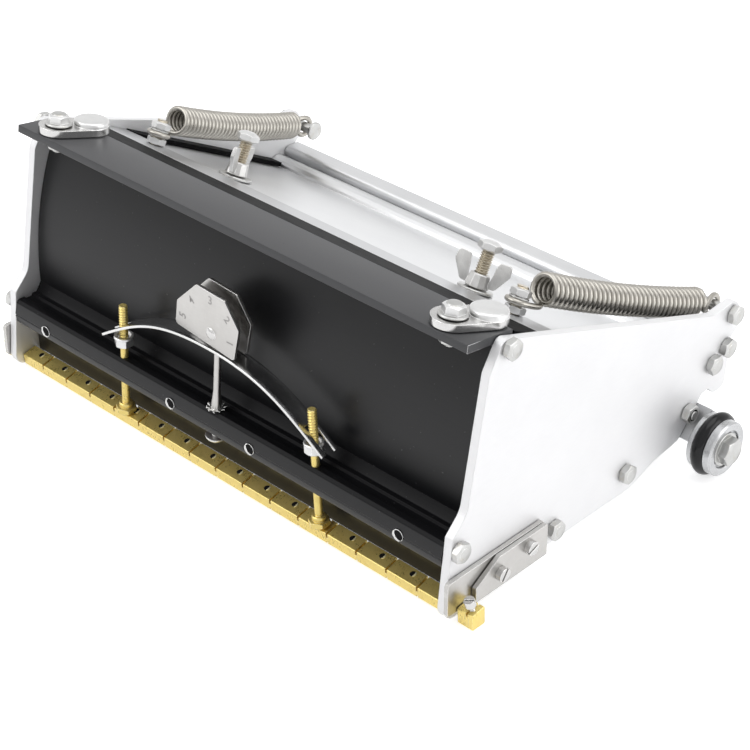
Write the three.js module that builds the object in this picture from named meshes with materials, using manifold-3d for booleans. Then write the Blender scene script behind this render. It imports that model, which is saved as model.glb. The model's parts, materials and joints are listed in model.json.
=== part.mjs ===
// A flat finishing box for drywall joints, built as an assembly of its real pieces.
// Millimetres, +Z up, +X along the blade, +Y from the blade to the wheels.
// While it is built, the ground is z = 0 and y = 0 is the top front edge of the brass blade holder.
import * as THREE from 'three';
import Module from 'manifold-3d';
import { mergeVertices, toCreasedNormals } from 'three/addons/utils/BufferGeometryUtils.js';

const wasm = await Module();
wasm.setup();

const rad = THREE.MathUtils.degToRad;
const xAxis = new THREE.Vector3(1, 0, 0);
const yAxis = new THREE.Vector3(0, 1, 0);
const zAxis = new THREE.Vector3(0, 0, 1);
const sides = [['left', -1], ['right', 1]];

// General fits
const seatGap = 0.3; // left between pieces that rest on each other
const holeGap = 0.3; // left around a shank in its hole
const turnGap = 0.12; // left around a shank that turns in its hole
const weld = 0.2; // how far two shapes of one piece run into each other
const over = 1; // how far a cutting tool runs past what it cuts
const edgeRadius = 0.6; // rounded edge of an extruded bar
const edgeShare = 0.48; // most of an edge that one rounded corner takes
const leastRound = 0.12; // a rounding that would take less of its edges is left out
const cornerSteps = 2; // steps in half of a rounded corner
const arcSteps = 4; // steps in half of a wide arc
const roundSteps = 18; // sides of a small round piece
const shankSteps = 12; // sides of a screw shank
const wheelSteps = 26; // sides of a wheel
const grooveSteps = 6; // steps round a wheel's groove
const creaseAngle = 35; // edges sharper than this stay crisp
const mergeWithin = 1e-4; // corners nearer than this are one
const upright = 0.9; // share of a direction that counts as pointing up

// Box body
const boxWidth = 200; // clear width between the side plates
const plateThick = 3;
const lid = { length: 109.2, top: 0.44, thick: 3, sideGap: 0.4, slope: 28.1 };
const seal = { width: 15, overhang: 1.7, thick: 1.5, wallGap: 0.5 };
const wall = { thick: 3, rearY: 15.4, rearLowZ: 12, lowZ: 30 };
const pivot = { z: 32.8, rodRadius: 2.9, barrelRadius: 4.5 };
const flange = { length: 19.3, thick: 2.6, slope: 9, bossRadius: 3.1 };
const foot = {
  topZ: 26.8, topFront: 0.4, chamfer: 0.8, noseY: -0.5, frontY: -1.5, lowY: -1, lowZ: 18.5,
  lineZ: 21.5, lineDepth: 0.6, grooveFront: 3.4, grooveRear: 6.4, grooveDepth: 0.8,
  recessY: 7.3, recessTop: 17.4, recessLean: 0.4, bottomZ: 3.6, bendY: 9, bendRise: 0.8,
};
const outletWidth = 8.6; // slot that the compound leaves by, between the foot and the floor
const floor = { slope: 4.7, thick: 6, screwY: 22.3, screwZ: 8.8, rearScrew: 29, bend: 3 };
const heelSlope = 48.6; // slanted rear edge of the side plates, which carries the axle bar
const upturn = { length: 16.6, thick: 5, tipReach: 3, bendShare: 0.75, kneeShare: 0.7 };
const member = { front: 4.3, rear: 11.8, low: -1.8, top: 6, noseRadius: 2.7, nose: 3.5, rake: 1.6 };

// Points that the rear and the top of the box are measured from
const wallInner = lid.length + seal.overhang + seal.wallGap;
const wallOuter = wallInner + wall.thick;
const hinge = { y: wall.rearY + Math.sqrt(wallInner ** 2 - (pivot.z - wall.rearLowZ) ** 2), z: pivot.z };
const heelFromHinge = { y: -14.3, z: -21.9 };
const heel = { y: hinge.y + heelFromHinge.y, z: hinge.z + heelFromHinge.z };
const tip = { y: 0, z: 0 };
const footTop = { y: 0, z: foot.topZ };
const flangeRear = {
  y: hinge.y - wallInner * Math.cos(rad(lid.slope)), z: hinge.z + wallInner * Math.sin(rad(lid.slope)),
};
const flangeSine = Math.sin(rad(flange.slope));
const flangeCosine = Math.cos(rad(flange.slope));
const flangeFront = {
  y: flangeRear.y + flange.thick * flangeSine - flange.length * flangeCosine,
  z: flangeRear.z + flange.thick * flangeCosine + flange.length * flangeSine,
};
const outletRear = wall.rearY + outletWidth;
const floorZ = (y) => floor.screwZ + (y - outletRear - floor.screwY) * Math.tan(rad(floor.slope));
const floorPoint = (y) => ({ y, z: floorZ(y) });

// Outline of a side plate: the point that a corner is measured from, back, up and corner radius
const plateCorners = [
  [tip, -3.4, 0.6, 4.6], [tip, 6, 0.6, 3], [tip, 12, 3.8, 5],
  [heel, -25.5, -7.1, 6], [heel, -13, -2.7, 4], [heel, -0.9, -1, 1.5],
  [hinge, -3.8, -10, 1.2], [hinge, -0.6, -9.6, 1], [hinge, 2.6, -12.7, 1.5], [hinge, 8.6, -12.9, 2.8],
  [hinge, 9.8, 5.8, 1.5], [hinge, 13, 8, 1.5], [hinge, 12.8, 19.6, 4], [hinge, -1.4, 18.5, 2],
  [flangeFront, 11.6, -1.8, 2.5], [flangeFront, 5.8, -11.2, 4],
  [footTop, 5.9, 9, 7], [footTop, -0.2, 2.8, 1.2],
];
// Screws that hold each side plate: the point they are measured from, back, up and the head's turn
const plateScrews = {
  top: [flangeFront, 13.8, -5.3, 12],
  foot: [footTop, 2.2, -2.1, 40],
  floor_front: [floorPoint(outletRear + floor.screwY), 0, 0, 5],
  floor_rear: [floorPoint(heel.y - floor.rearScrew), 0, 0, 25],
  member: [hinge, 7, 3.3, 18],
};
const plateScrew = { flats: 7, head: 2.5, shank: 1.7, length: 11 };
const axleStud = {
  along: 8.2, inside: 3.9, turn: 8, flats: 6, head: 2.8, shank: 1.6, length: 10, tail: 1.6,
};
const springAnchor = {
  back: 9.4, up: 14.7, turn: 30, shank: 1.9, inside: 11, collarRadius: 3.4, collar: 1.2,
};

// What the pressure plate carries, measured back from its front edge and up from its top face
const clampStrip = { width: 13, thick: 1.5 };
const springStud = {
  inset: 19.3, back: 10.1, radius: 2, flats: 7, lowNut: 2.3, highNut: 3, wireRoom: 2.8,
  proud: 1.3,
};
const handleBolt = {
  x: 54.6, clear: 4.6, radius: 2.2, tail: 2, flats: 8, headLow: 13.6, head: 3.8, washer: 7,
  washerThick: 0.9,
};
const sideSeal = { width: 5.8, thick: 1.8 };
const wingNut = { hubRadius: 4.1, hubTop: 3.3, hub: 4.6, thick: 1.6 };
// Outline of one wing beside the axis of the nut: out, up and corner radius
const wingCorners = [
  [3.4, 0.5, 0.3], [6.2, 0.8, 1.5], [9, 5.9, 1.6], [8.4, 9.7, 1.2], [5.2, 9.3, 1.2],
  [4, 3.7, 1.2],
];
const wingTurn = { left: 118, right: 16 };

// Return springs: the coils start and end so far along and above the line between the two hooks
const spring = {
  coilRadius: 4.35, wire: 0.95, hookRadius: 3.4, startAlong: 10.5, startLift: 2.4, endAlong: 8.6,
  endLift: 0.7, startShift: 0.4, pull: 3.6, leastGapWanted: 0.4,
};
const coilTurns = 29;
const springSides = 5;
const stepsPerTurn = 7;
const hookSteps = 7;
const bridgeSteps = 4;
const hookAngles = { front: [-250, -12], rear: [80, -160] };

// Latches on the top flange
const latch = {
  inset: 12.5, back: 7, pivotRadius: 6.6, tipRadius: 6, reach: 11, turn: 27, thick: 2.4,
  bevel: 0.35,
};
const latchDisc = { radius: 5.4, thick: 2 };
const latchBolt = { flats: 7, head: 3, shank: 1.9, washer: 4.8, washerThick: 0.9, nut: 2.6, proud: 1 };

// Blade and its brass holder: corners in y and z
const holderCorners = [[0.4, 0.5, 0.3], [6, 1.1, 0.3], [5.5, 5.8, 0.3], [0, 4.4, 0.3]];
const sawCut = { pitch: 12.7, width: 0.8, topDepth: 1.6, lowDepth: 0.9, lowReach: 3.9 };
const dimple = { radius: 0.8, depth: 1, y: 3.4, share: 0.64, sides: 6 };
const blade = { y: 3.1, thick: 0.6, top: 3.6 };

// Adjuster rods, bow spring and dial
const adjusterY = 1.8;
const rod = {
  footX: 46.1, footZ: 5, slope: 3.3, radius: 1.45, below: 1, length: 42, flats: 6.4, nut: 2,
  spot: 4.1,
};
const rodNut = { from: 27.3, thick: 2.4, flats: 5.5, washer: 3.4, washerThick: 0.8 };
const bow = {
  camGap: 0.825, endX: 51.3, endZ: 34.2, endSlope: 33, midPull: 24, endPull: 20, thick: 1.1,
  front: -1.9, width: 7,
};
const bowSteps = 12;
const bowSlot = { from: 41.9, width: 3.6, postHole: 2.1 };
const post = {
  slope: 5.2, length: 30.7, radius: 1.15, footRadius: 1.75, flare: 7, ring: 2.9, ringThick: 0.9,
  eye: 2.1, eyeWidth: 3.6,
};
const postHead = { radius: 2.6, crownRadius: 1.6, thick: 1.2 };
const dial = { width: 6.2, plate: 1, pin: 0.95, head: 1.5, crown: 0.9, headThick: 0.6, centreY: 1.7 };
// Cam outline of the dial about its pin, seen from the front: x, z and corner radius
const dialCorners = [
  [-16.5, -2.7, 1], [10.1, -5.6, 1], [12.8, 6.2, 1], [6.8, 14.6, 1], [-5.7, 15.4, 1], [-15.1, 6.1, 1],
];

// Wheels and axle
const axle = { width: 12.7, thick: 6.35, overhang: 5.6, boltAlong: 3.1 };
const wheel = {
  width: 9.5, flangeRadius: 9.5, tyreRadius: 2.4, tyreAt: 4.2, recess: 1.2, recessRadius: 6.6,
  gap: 0.4,
};
const wheelBolt = { flats: 8.4, head: 3.2, shank: 2.2, washer: 5.9, washerThick: 0.6, intoAxle: 8 };

// Skids at the blade ends: y, z and corner radius
const skidThick = 1.5;
const skidCorners = [[-3.8, 4.2, 0.8], [39.4, 4.4, 0.5], [39.4, 16.3, 0.5], [-3.8, 16.1, 1.2]];
const skidCoverCorners = [
  [6.7, 4.5, 0.4], [39.3, 4.7, 0.5], [39.3, 16.2, 0.5], [17.1, 16.1, 0.5], [6.7, 9.8, 0.4],
];
const shoeCorners = [[0.6, 0, 0.3], [6.1, 0, 0.3], [5.8, 6.4, 0.4], [0.2, 5.6, 0.4]];
const shoe = {
  width: 5.8, bossWidth: 2.8, bossFront: 0.4, bossRear: 3.6, bossTop: 10.4, cutDepth: 1.4,
  cutWidth: 0.8, cutAt: 3.2,
};

// Sizes that follow from the ones above
const half = boxWidth / 2;
const plateOuter = half + plateThick;
const insideLength = boxWidth - 2 * seatGap;
const lidWidth = boxWidth - 2 * lid.sideGap;
const screwReach = half - plateScrew.length - plateScrew.shank;
const stripRear = lid.length + seal.overhang - seal.width - seatGap - clampStrip.width;
const studU = lid.length + seal.overhang - seal.width - springStud.back;
const studX = half - springStud.inset;
const handleU = stripRear - handleBolt.clear - handleBolt.washer;
const latchX = half - latch.inset;
const axleEnd = plateOuter + axle.overhang;
const chamferAngle = 60;
const chamferShare = 0.49; // of the width across flats
const nutRadius = (flats) => flats / 2 / Math.cos(Math.PI / 6);

const part = new THREE.Group();
part.name = 'flat_box';

// Finishes
const finish = (color, metalness, roughness) => ({ color, metalness, roughness });
const brightAluminium = finish(0xdfe2e5, 0.9, 0.32);
const greyAluminium = finish(0x9fa1a5, 0.85, 0.4);
const blackAluminium = finish(0x2b2c2f, 0.55, 0.38);
const zincSteel = finish(0xc4c6c4, 0.9, 0.35);
const springSteel = finish(0xa8a49a, 0.9, 0.36);
const stainless = finish(0xd0cecb, 0.9, 0.3);
const bladeSteel = finish(0x8f9398, 0.9, 0.3);
const brass = finish(0xc9a24a, 0.9, 0.34);
const blackRubber = finish(0x191a1c, 0, 0.6);

// Dial pin's place, and the middle of the bow spring under the cam's low edge
const dialPin = {
  x: post.length * Math.sin(rad(post.slope)), z: foot.topZ + post.length * Math.cos(rad(post.slope)),
};
const [camLow, camNext] = dialCorners;
const camShare = camLow[0] / (camLow[0] - camNext[0]);
const camEdge = camLow[1] + (camNext[1] - camLow[1]) * camShare;
const bowTop = dialPin.z + camEdge - bow.camGap - bow.thick / 2;

// Solid work
function solid(geometry) {
  const plain = geometry.clone();
  plain.deleteAttribute('normal');
  plain.deleteAttribute('uv');
  const merged = mergeVertices(plain, mergeWithin);
  const corners = new Float32Array(merged.attributes.position.array);
  const faces = Uint32Array.from(merged.index.array);
  const made = new wasm.Manifold(new wasm.Mesh({ numProp: 3, vertProperties: corners, triVerts: faces }));
  if (made.volume() > 0) return made;
  for (let i = 0; i < faces.length; i += 3) [faces[i], faces[i + 1]] = [faces[i + 1], faces[i]];
  return new wasm.Manifold(new wasm.Mesh({ numProp: 3, vertProperties: corners, triVerts: faces }));
}

function geometryOf(made) {
  const mesh = made.getMesh();
  const geometry = new THREE.BufferGeometry();
  geometry.setAttribute('position', new THREE.BufferAttribute(mesh.vertProperties, 3));
  geometry.setIndex(new THREE.BufferAttribute(mesh.triVerts, 1));
  return toCreasedNormals(geometry, rad(creaseAngle));
}

const joined = (...shapes) => shapes.map(solid).reduce((a, b) => a.add(b));
const cutFrom = (made, ...tools) => tools.map(solid).reduce((a, b) => a.subtract(b), made);

function add(parent, name, shape, look) {
  const geometry = shape.isBufferGeometry ? shape : geometryOf(shape);
  const mesh = new THREE.Mesh(geometry, new THREE.MeshStandardMaterial(look));
  mesh.name = name;
  parent.add(mesh);
  return mesh;
}

// A closed outline whose corners [a, b, radius] are rounded by true arcs, none longer than its edges allow
function outline(corners) {
  const shape = new THREE.Shape();
  corners.forEach(([a, b, radius], i) => {
    const here = new THREE.Vector2(a, b);
    const before = corners[(i + corners.length - 1) % corners.length];
    const after = corners[(i + 1) % corners.length];
    const back = new THREE.Vector2(before[0], before[1]).sub(here);
    const on = new THREE.Vector2(after[0], after[1]).sub(here);
    const room = Math.min(back.length(), on.length()) * edgeShare;
    const opening = back.normalize().angleTo(on.normalize()) / 2;
    const reach = Math.min(radius / Math.tan(opening), room);
    if (reach < leastRound) {
      if (i) shape.lineTo(a, b);
      else shape.moveTo(a, b);
      return;
    }
    const bend = reach * Math.tan(opening);
    const centre = back.clone().add(on).normalize().multiplyScalar(bend / Math.sin(opening)).add(here);
    const from = back.multiplyScalar(reach).add(here).sub(centre).angle();
    const to = on.multiplyScalar(reach).add(here).sub(centre).angle();
    const turn = THREE.MathUtils.euclideanModulo(to - from, 2 * Math.PI);
    shape.absarc(centre.x, centre.y, bend, from, to, turn > Math.PI);
  });
  return shape;
}

const circle = (a, b, radius) => new THREE.Path().absarc(a, b, radius, 0, 2 * Math.PI);

function extruded(shape, depth, steps) {
  return new THREE.ExtrudeGeometry(shape, { depth, bevelEnabled: false, curveSegments: steps });
}

// Extrude an outline drawn in y and z along X
function alongX(shape, from, to, steps = cornerSteps) {
  const geometry = extruded(shape, to - from, steps);
  geometry.applyMatrix4(new THREE.Matrix4().makeBasis(yAxis, zAxis, xAxis));
  return geometry.translate(from, 0, 0);
}

// Extrude an outline drawn in x and z along Y
function alongY(shape, from, to, steps = cornerSteps) {
  return extruded(shape, to - from, steps).rotateX(Math.PI / 2).translate(0, to, 0);
}

// Upright round bar between two heights; radiusTop differs for a cone
function bar(radius, from, to, steps = roundSteps, radiusTop = radius) {
  const geometry = new THREE.CylinderGeometry(radiusTop, radius, to - from, steps);
  return geometry.rotateX(Math.PI / 2).translate(0, 0, (from + to) / 2);
}

function barX(radius, from, to, y, z, steps) {
  return bar(radius, from, to, steps).rotateY(Math.PI / 2).translate(0, y, z);
}

function box(x0, x1, y0, y1, z0, z1) {
  const geometry = new THREE.BoxGeometry(x1 - x0, y1 - y0, z1 - z0);
  return geometry.translate((x0 + x1) / 2, (y0 + y1) / 2, (z0 + z1) / 2);
}

// Hexagon between two heights with its upper corners chamfered
function hexagon(flats, from, to) {
  const prism = solid(bar(nutRadius(flats), from, to, 6));
  const top = flats * chamferShare;
  const cone = bar(top + (to - from) * Math.tan(rad(chamferAngle)), from, to, shankSteps, top);
  return prism.intersect(solid(cone.rotateZ(Math.PI / shankSteps)));
}

// Screw on +Z: its head stands above the seat, its shank below, and a stud's tail above the head
function hexScrew({ flats, head, shank, length, washer = 0, washerThick = 0, tail = 0 }) {
  const top = washerThick + head;
  let made = hexagon(flats, washerThick, top);
  if (washer) made = made.add(solid(bar(washer, 0, washerThick + weld)));
  return made.add(solid(bar(shank, -length, tail ? top + tail : weld, shankSteps)));
}

// Holes along X through or into the part at one side, each given as [y, z, radius]
function sideBores(side, from, to, places) {
  const [low, high] = [side * from, side * to].sort((a, b) => a - b);
  return places.map(([y, z, radius]) => barX(radius + holeGap, low, high, y, z, shankSteps));
}

const screwPlaces = (...names) => names.map((name) => {
  const [from, back, up] = plateScrews[name];
  return [from.y + back, from.z + up, plateScrew.shank];
});
const studPlace = [...heelPoint(axleStud.along, -axleStud.inside), axleStud.shank];
const anchorPlace = [hinge.y + springAnchor.back, hinge.z + springAnchor.up, springAnchor.shank];

// Point on the slanted heel of the side plates: so far up along it and so far out from it
function heelPoint(along, out) {
  const turn = rad(heelSlope);
  return [
    heel.y + along * Math.cos(turn) + out * Math.sin(turn),
    heel.z + along * Math.sin(turn) - out * Math.cos(turn),
  ];
}

// Side plates with the holes that their screws pass through
function buildSidePlates() {
  const places = [
    ...screwPlaces(...Object.keys(plateScrews)), [hinge.y, hinge.z, plateScrew.shank], studPlace, anchorPlace,
  ];
  const corners = plateCorners.map(([from, back, up, radius]) => [from.y + back, from.z + up, radius]);
  sides.forEach(([name, side]) => {
    const [low, high] = [side * half, side * plateOuter].sort((a, b) => a - b);
    const plate = solid(alongX(outline(corners), low, high));
    const bores = sideBores(side, half - over, plateOuter + over, places);
    add(part, `side_plate_${name}`, cutFrom(plate, ...bores), brightAluminium);
  });
}

function buildPlateScrews() {
  const shape = hexScrew(plateScrew);
  const turnOut = (mesh, side, [y, z], turn) => {
    mesh.rotation.set(0, side * Math.PI / 2, rad(turn));
    mesh.position.set(side * (plateOuter + seatGap), y, z);
  };
  const inside = plateThick + springAnchor.inside;
  const anchor = hexScrew({ ...plateScrew, shank: springAnchor.shank, length: inside })
    .add(solid(bar(springAnchor.collarRadius, -inside - springAnchor.collar, -inside + weld)));
  const stud = hexScrew(axleStud);
  sides.forEach(([name, side]) => {
    Object.entries(plateScrews).forEach(([place, [from, back, up, turn]]) => {
      const mesh = add(part, `${place}_screw_${name}`, shape, zincSteel);
      turnOut(mesh, side, [from.y + back, from.z + up], turn);
    });
    turnOut(add(part, `spring_anchor_${name}`, anchor, zincSteel), side, anchorPlace, springAnchor.turn);
    turnOut(add(part, `axle_stud_${name}`, stud, zincSteel), side, studPlace, axleStud.turn);
  });
}

// Front extrusion: top flange, curved wall about the hinge, and the foot that carries the adjusters
function frontWallOutline() {
  const turnAt = (radius, z) => Math.PI - Math.asin((z - hinge.z) / radius);
  const meetZ = flangeRear.z + wall.thick * flangeSine;
  const shape = new THREE.Shape();
  shape.moveTo(foot.recessY, foot.bottomZ);
  shape.lineTo(wall.rearY, foot.bottomZ);
  const [lowTurn, highTurn] = [turnAt(wallInner, wall.rearLowZ), turnAt(wallInner, flangeRear.z)];
  shape.absarc(hinge.y, hinge.z, wallInner, lowTurn, highTurn, true);
  shape.lineTo(flangeRear.y + flange.thick * flangeSine, flangeRear.z + flange.thick * flangeCosine);
  shape.lineTo(flangeFront.y, flangeFront.z);
  shape.lineTo(flangeFront.y - flange.thick * flangeSine, flangeFront.z - flange.thick * flangeCosine);
  shape.absarc(hinge.y, hinge.z, wallOuter, turnAt(wallOuter, meetZ), turnAt(wallOuter, wall.lowZ), false);
  shape.lineTo(foot.bendY, foot.topZ + foot.bendRise);
  shape.lineTo(foot.bendY - foot.bendRise, foot.topZ);
  shape.lineTo(foot.grooveRear, foot.topZ);
  shape.lineTo(foot.grooveRear - foot.grooveDepth / 2, foot.topZ - foot.grooveDepth);
  shape.lineTo(foot.grooveFront, foot.topZ - foot.grooveDepth);
  shape.lineTo(foot.grooveFront - foot.grooveDepth / 2, foot.topZ);
  shape.lineTo(foot.topFront, foot.topZ);
  shape.lineTo(foot.noseY, foot.topZ - foot.chamfer);
  shape.lineTo(foot.frontY, foot.lineZ + foot.lineDepth / 2);
  shape.lineTo(foot.frontY + foot.lineDepth, foot.lineZ);
  shape.lineTo(foot.frontY, foot.lineZ - foot.lineDepth / 2);
  shape.lineTo(foot.lowY, foot.lowZ);
  shape.lineTo(foot.recessY - foot.recessLean, foot.recessTop);
  return shape;
}

function leaned(geometry, lean, x, y, z) {
  return geometry.rotateY(lean).translate(x, y, z);
}

function buildFrontWall() {
  const [[topY, topZ]] = screwPlaces('top');
  const from = -insideLength / 2;
  const to = insideLength / 2;
  let made = solid(alongX(frontWallOutline(), from, to, arcSteps));
  made = made.add(solid(barX(flange.bossRadius, from, to, topY, topZ)));
  const bores = [];
  sides.forEach(([, side]) => {
    bores.push(...sideBores(side, screwReach, half, screwPlaces('top', 'foot')));
    const rodHole = bar(rod.radius + holeGap, 0, foot.topZ + rod.length, shankSteps);
    bores.push(leaned(rodHole, -side * rad(rod.slope), side * rod.footX, adjusterY, rod.footZ));
    const latchHole = bar(latchBolt.shank + holeGap, -flange.thick - over, over, shankSteps)
      .translate(side * latchX, latch.back, 0).rotateX(-rad(flange.slope));
    bores.push(latchHole.translate(0, flangeFront.y, flangeFront.z));
  });
  const postHole = bar(post.radius + 2 * holeGap, -foot.topZ, over, shankSteps);
  bores.push(leaned(postHole, rad(post.slope), 0, adjusterY, foot.topZ));
  add(part, 'front_wall', cutFrom(made, ...bores), blackAluminium);
}

// Floor extrusion: a thick sloping floor that turns up along the slanted heel of the side plates
function buildFloor() {
  const down = floor.thick / 2;
  const lowEnd = heelPoint(seatGap, -seatGap);
  const highEnd = heelPoint(upturn.length, -seatGap);
  const tipEnd = heelPoint(upturn.length + upturn.tipReach, -upturn.thick / 2);
  const bend = heelPoint(upturn.length * upturn.bendShare, -seatGap - upturn.thick);
  const lowY = lowEnd[0] - upturn.thick * upturn.kneeShare;
  const kneeY = heel.y - upturn.thick - over;
  const shape = outline([
    [outletRear, floorZ(outletRear) - down, edgeRadius], [lowY, floorZ(lowY) - down, floor.bend],
    [...lowEnd, edgeRadius], [...highEnd, edgeRadius], [...tipEnd, edgeRadius], [...bend, floor.bend],
    [kneeY, floorZ(kneeY) + down, floor.bend], [outletRear, floorZ(outletRear) + down, edgeRadius],
  ]);
  const places = [...screwPlaces('floor_front', 'floor_rear'), studPlace];
  const bores = sides.flatMap(([, side]) => sideBores(side, screwReach, half, places));
  const made = solid(alongX(shape, -insideLength / 2, insideLength / 2));
  add(part, 'bottom_plate', cutFrom(made, ...bores), greyAluminium);
}

function buildRearMember() {
  const [front, rear] = [hinge.y + member.front, hinge.y + member.rear];
  const [low, top] = [hinge.z + member.low, hinge.z + member.top];
  const shape = outline([
    [front + member.rake, low, edgeRadius], [rear, low, edgeRadius], [rear, top, 2 * edgeRadius],
    [front, top, member.noseRadius], [front, top - member.nose, edgeRadius],
  ]);
  const bores = sides.flatMap(([, side]) => sideBores(side, screwReach, half, screwPlaces('member')));
  const made = solid(alongX(shape, -insideLength / 2, insideLength / 2));
  add(part, 'rear_cross_member', cutFrom(made, ...bores), brightAluminium);
}

// One long hinge rod, stepped down through the plates, with a hexagon head at each end
function buildHingeRod() {
  const reach = plateOuter + seatGap;
  let made = joined(
    barX(pivot.rodRadius, -insideLength / 2, insideLength / 2, hinge.y, hinge.z),
    barX(plateScrew.shank, -reach - weld, reach + weld, hinge.y, hinge.z, shankSteps),
  );
  sides.forEach(([, side]) => {
    const head = hexagon(plateScrew.flats, 0, plateScrew.head).rotate([0, side * 90, 0]);
    made = made.add(head.translate([side * reach, hinge.y, hinge.z]));
  });
  add(part, 'hinge_rod', made, zincSteel);
}

// Pressure plate and what it carries, in a frame at the hinge: -Y runs up the slope
const lidFrame = new THREE.Group();
lidFrame.position.set(0, hinge.y, hinge.z);
lidFrame.rotation.x = -rad(lid.slope);
part.add(lidFrame);

function lidBore(radius, x, u) {
  return bar(radius + holeGap, -lid.thick - over, lid.thick + over, shankSteps).translate(x, -u, 0);
}

function buildPressurePlate() {
  const end = lidWidth / 2;
  const made = joined(
    barX(pivot.barrelRadius, -end, end, 0, 0),
    box(-end, end, -lid.length, -pivot.barrelRadius / 2, lid.top - lid.thick, lid.top),
  );
  const bores = [barX(pivot.rodRadius + holeGap, -end - over, end + over, 0, 0)];
  sides.forEach(([, side]) => {
    bores.push(lidBore(handleBolt.radius, side * handleBolt.x, handleU));
    bores.push(lidBore(springStud.radius, side * studX, studU));
  });
  add(lidFrame, 'pressure_plate', cutFrom(made, ...bores), brightAluminium);
}

function buildSeals() {
  const end = lidWidth / 2;
  const base = lid.top + seatGap;
  const front = lid.length + seal.overhang;
  const stripFront = front - seal.width - seatGap;
  const lip = box(-end, end, -front, seal.width - front, base, lid.top + seal.thick);
  add(lidFrame, 'front_seal', lip, blackRubber);
  const strip = solid(box(-end, end, -stripFront, -stripRear, base, lid.top + clampStrip.thick));
  const holes = sides.map(([, side]) => lidBore(springStud.radius, side * studX, studU));
  add(lidFrame, 'seal_clamp_strip', cutFrom(strip, ...holes), greyAluminium);
  const rear = pivot.barrelRadius + seatGap;
  sides.forEach(([name, side]) => {
    const [low, high] = [side * (end - sideSeal.width), side * end].sort((a, b) => a - b);
    const made = box(low, high, seatGap - stripRear, -rear, base, lid.top + sideSeal.thick);
    add(lidFrame, `side_seal_${name}`, made, blackRubber);
  });
}

// Stud and its two nuts, clamping the hook of a return spring between them
const studSeat = lid.top + clampStrip.thick + seatGap;
const hookHeight = studSeat + springStud.lowNut + springStud.wireRoom / 2;

function buildSpringStuds() {
  const highNut = studSeat + springStud.lowNut + springStud.wireRoom;
  const top = highNut + springStud.highNut;
  const shape = solid(bar(springStud.radius, lid.top - lid.thick, top + springStud.proud, shankSteps))
    .add(hexagon(springStud.flats, studSeat, studSeat + springStud.lowNut))
    .add(hexagon(springStud.flats, highNut, top));
  sides.forEach(([name, side]) => {
    const mesh = add(lidFrame, `spring_stud_${name}`, shape, zincSteel);
    mesh.position.set(side * studX, -studU, 0);
  });
}

// Handle bolt with its washer, head up, and the wing nut that clamps a handle bracket
function buildHandleBolts() {
  const seat = lid.top + seatGap;
  const low = lid.top - lid.thick - handleBolt.tail;
  const bolt = solid(bar(handleBolt.radius, low, handleBolt.headLow + weld, shankSteps))
    .add(solid(bar(handleBolt.washer, seat, seat + handleBolt.washerThick)))
    .add(hexagon(handleBolt.flats, handleBolt.headLow, handleBolt.headLow + handleBolt.head));
  const nut = wingNutShape();
  sides.forEach(([name, side]) => {
    const boltMesh = add(lidFrame, `handle_bolt_${name}`, bolt, zincSteel);
    boltMesh.position.set(side * handleBolt.x, -handleU, 0);
    const nutMesh = add(lidFrame, `wing_nut_${name}`, nut, stainless);
    nutMesh.position.set(side * handleBolt.x, -handleU, seat + handleBolt.washerThick + seatGap);
    nutMesh.rotation.z = rad(wingTurn[name]);
  });
}

function wingNutShape() {
  const wing = () => alongY(outline(wingCorners), -wingNut.thick / 2, wingNut.thick / 2);
  const made = joined(
    bar(wingNut.hubRadius, 0, wingNut.hub, roundSteps, wingNut.hubTop), wing(), wing().rotateZ(Math.PI),
  );
  return cutFrom(made, bar(handleBolt.radius + holeGap, -over, wingNut.hub + over, shankSteps));
}

// Return springs: a hook round the stud, the coils, and a hook round the anchor, as one wire
function arcPoints(centre, a, b, radius, [from, to]) {
  return Array.from({ length: hookSteps + 1 }, (_, i) => {
    const t = rad(from + (to - from) * i / hookSteps);
    return centre.clone().addScaledVector(a, radius * Math.cos(t)).addScaledVector(b, radius * Math.sin(t));
  });
}

// Points between two stretches of wire, leaving along the first and arriving along the second
function bridgePoints(before, after) {
  const start = before.at(-1);
  const end = after[0];
  const leave = start.clone().sub(before.at(-2)).setLength(spring.pull).add(start);
  const arrive = after[0].clone().sub(after[1]).setLength(spring.pull).add(end);
  return new THREE.CubicBezierCurve3(start, leave, arrive, end).getPoints(bridgeSteps).slice(1, -1);
}

function coilPoints(from, to, side) {
  const way = to.clone().sub(from).normalize();
  const across = new THREE.Vector3().crossVectors(way, zAxis).normalize().multiplyScalar(side);
  const up = new THREE.Vector3().crossVectors(across, way).normalize().multiplyScalar(side);
  const steps = coilTurns * stepsPerTurn;
  return Array.from({ length: steps + 1 }, (_, i) => {
    const turn = 2 * Math.PI * i / stepsPerTurn;
    return from.clone().lerp(to, i / steps)
      .addScaledVector(across, spring.coilRadius * Math.cos(turn))
      .addScaledVector(up, -spring.coilRadius * Math.sin(turn));
  });
}

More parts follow.
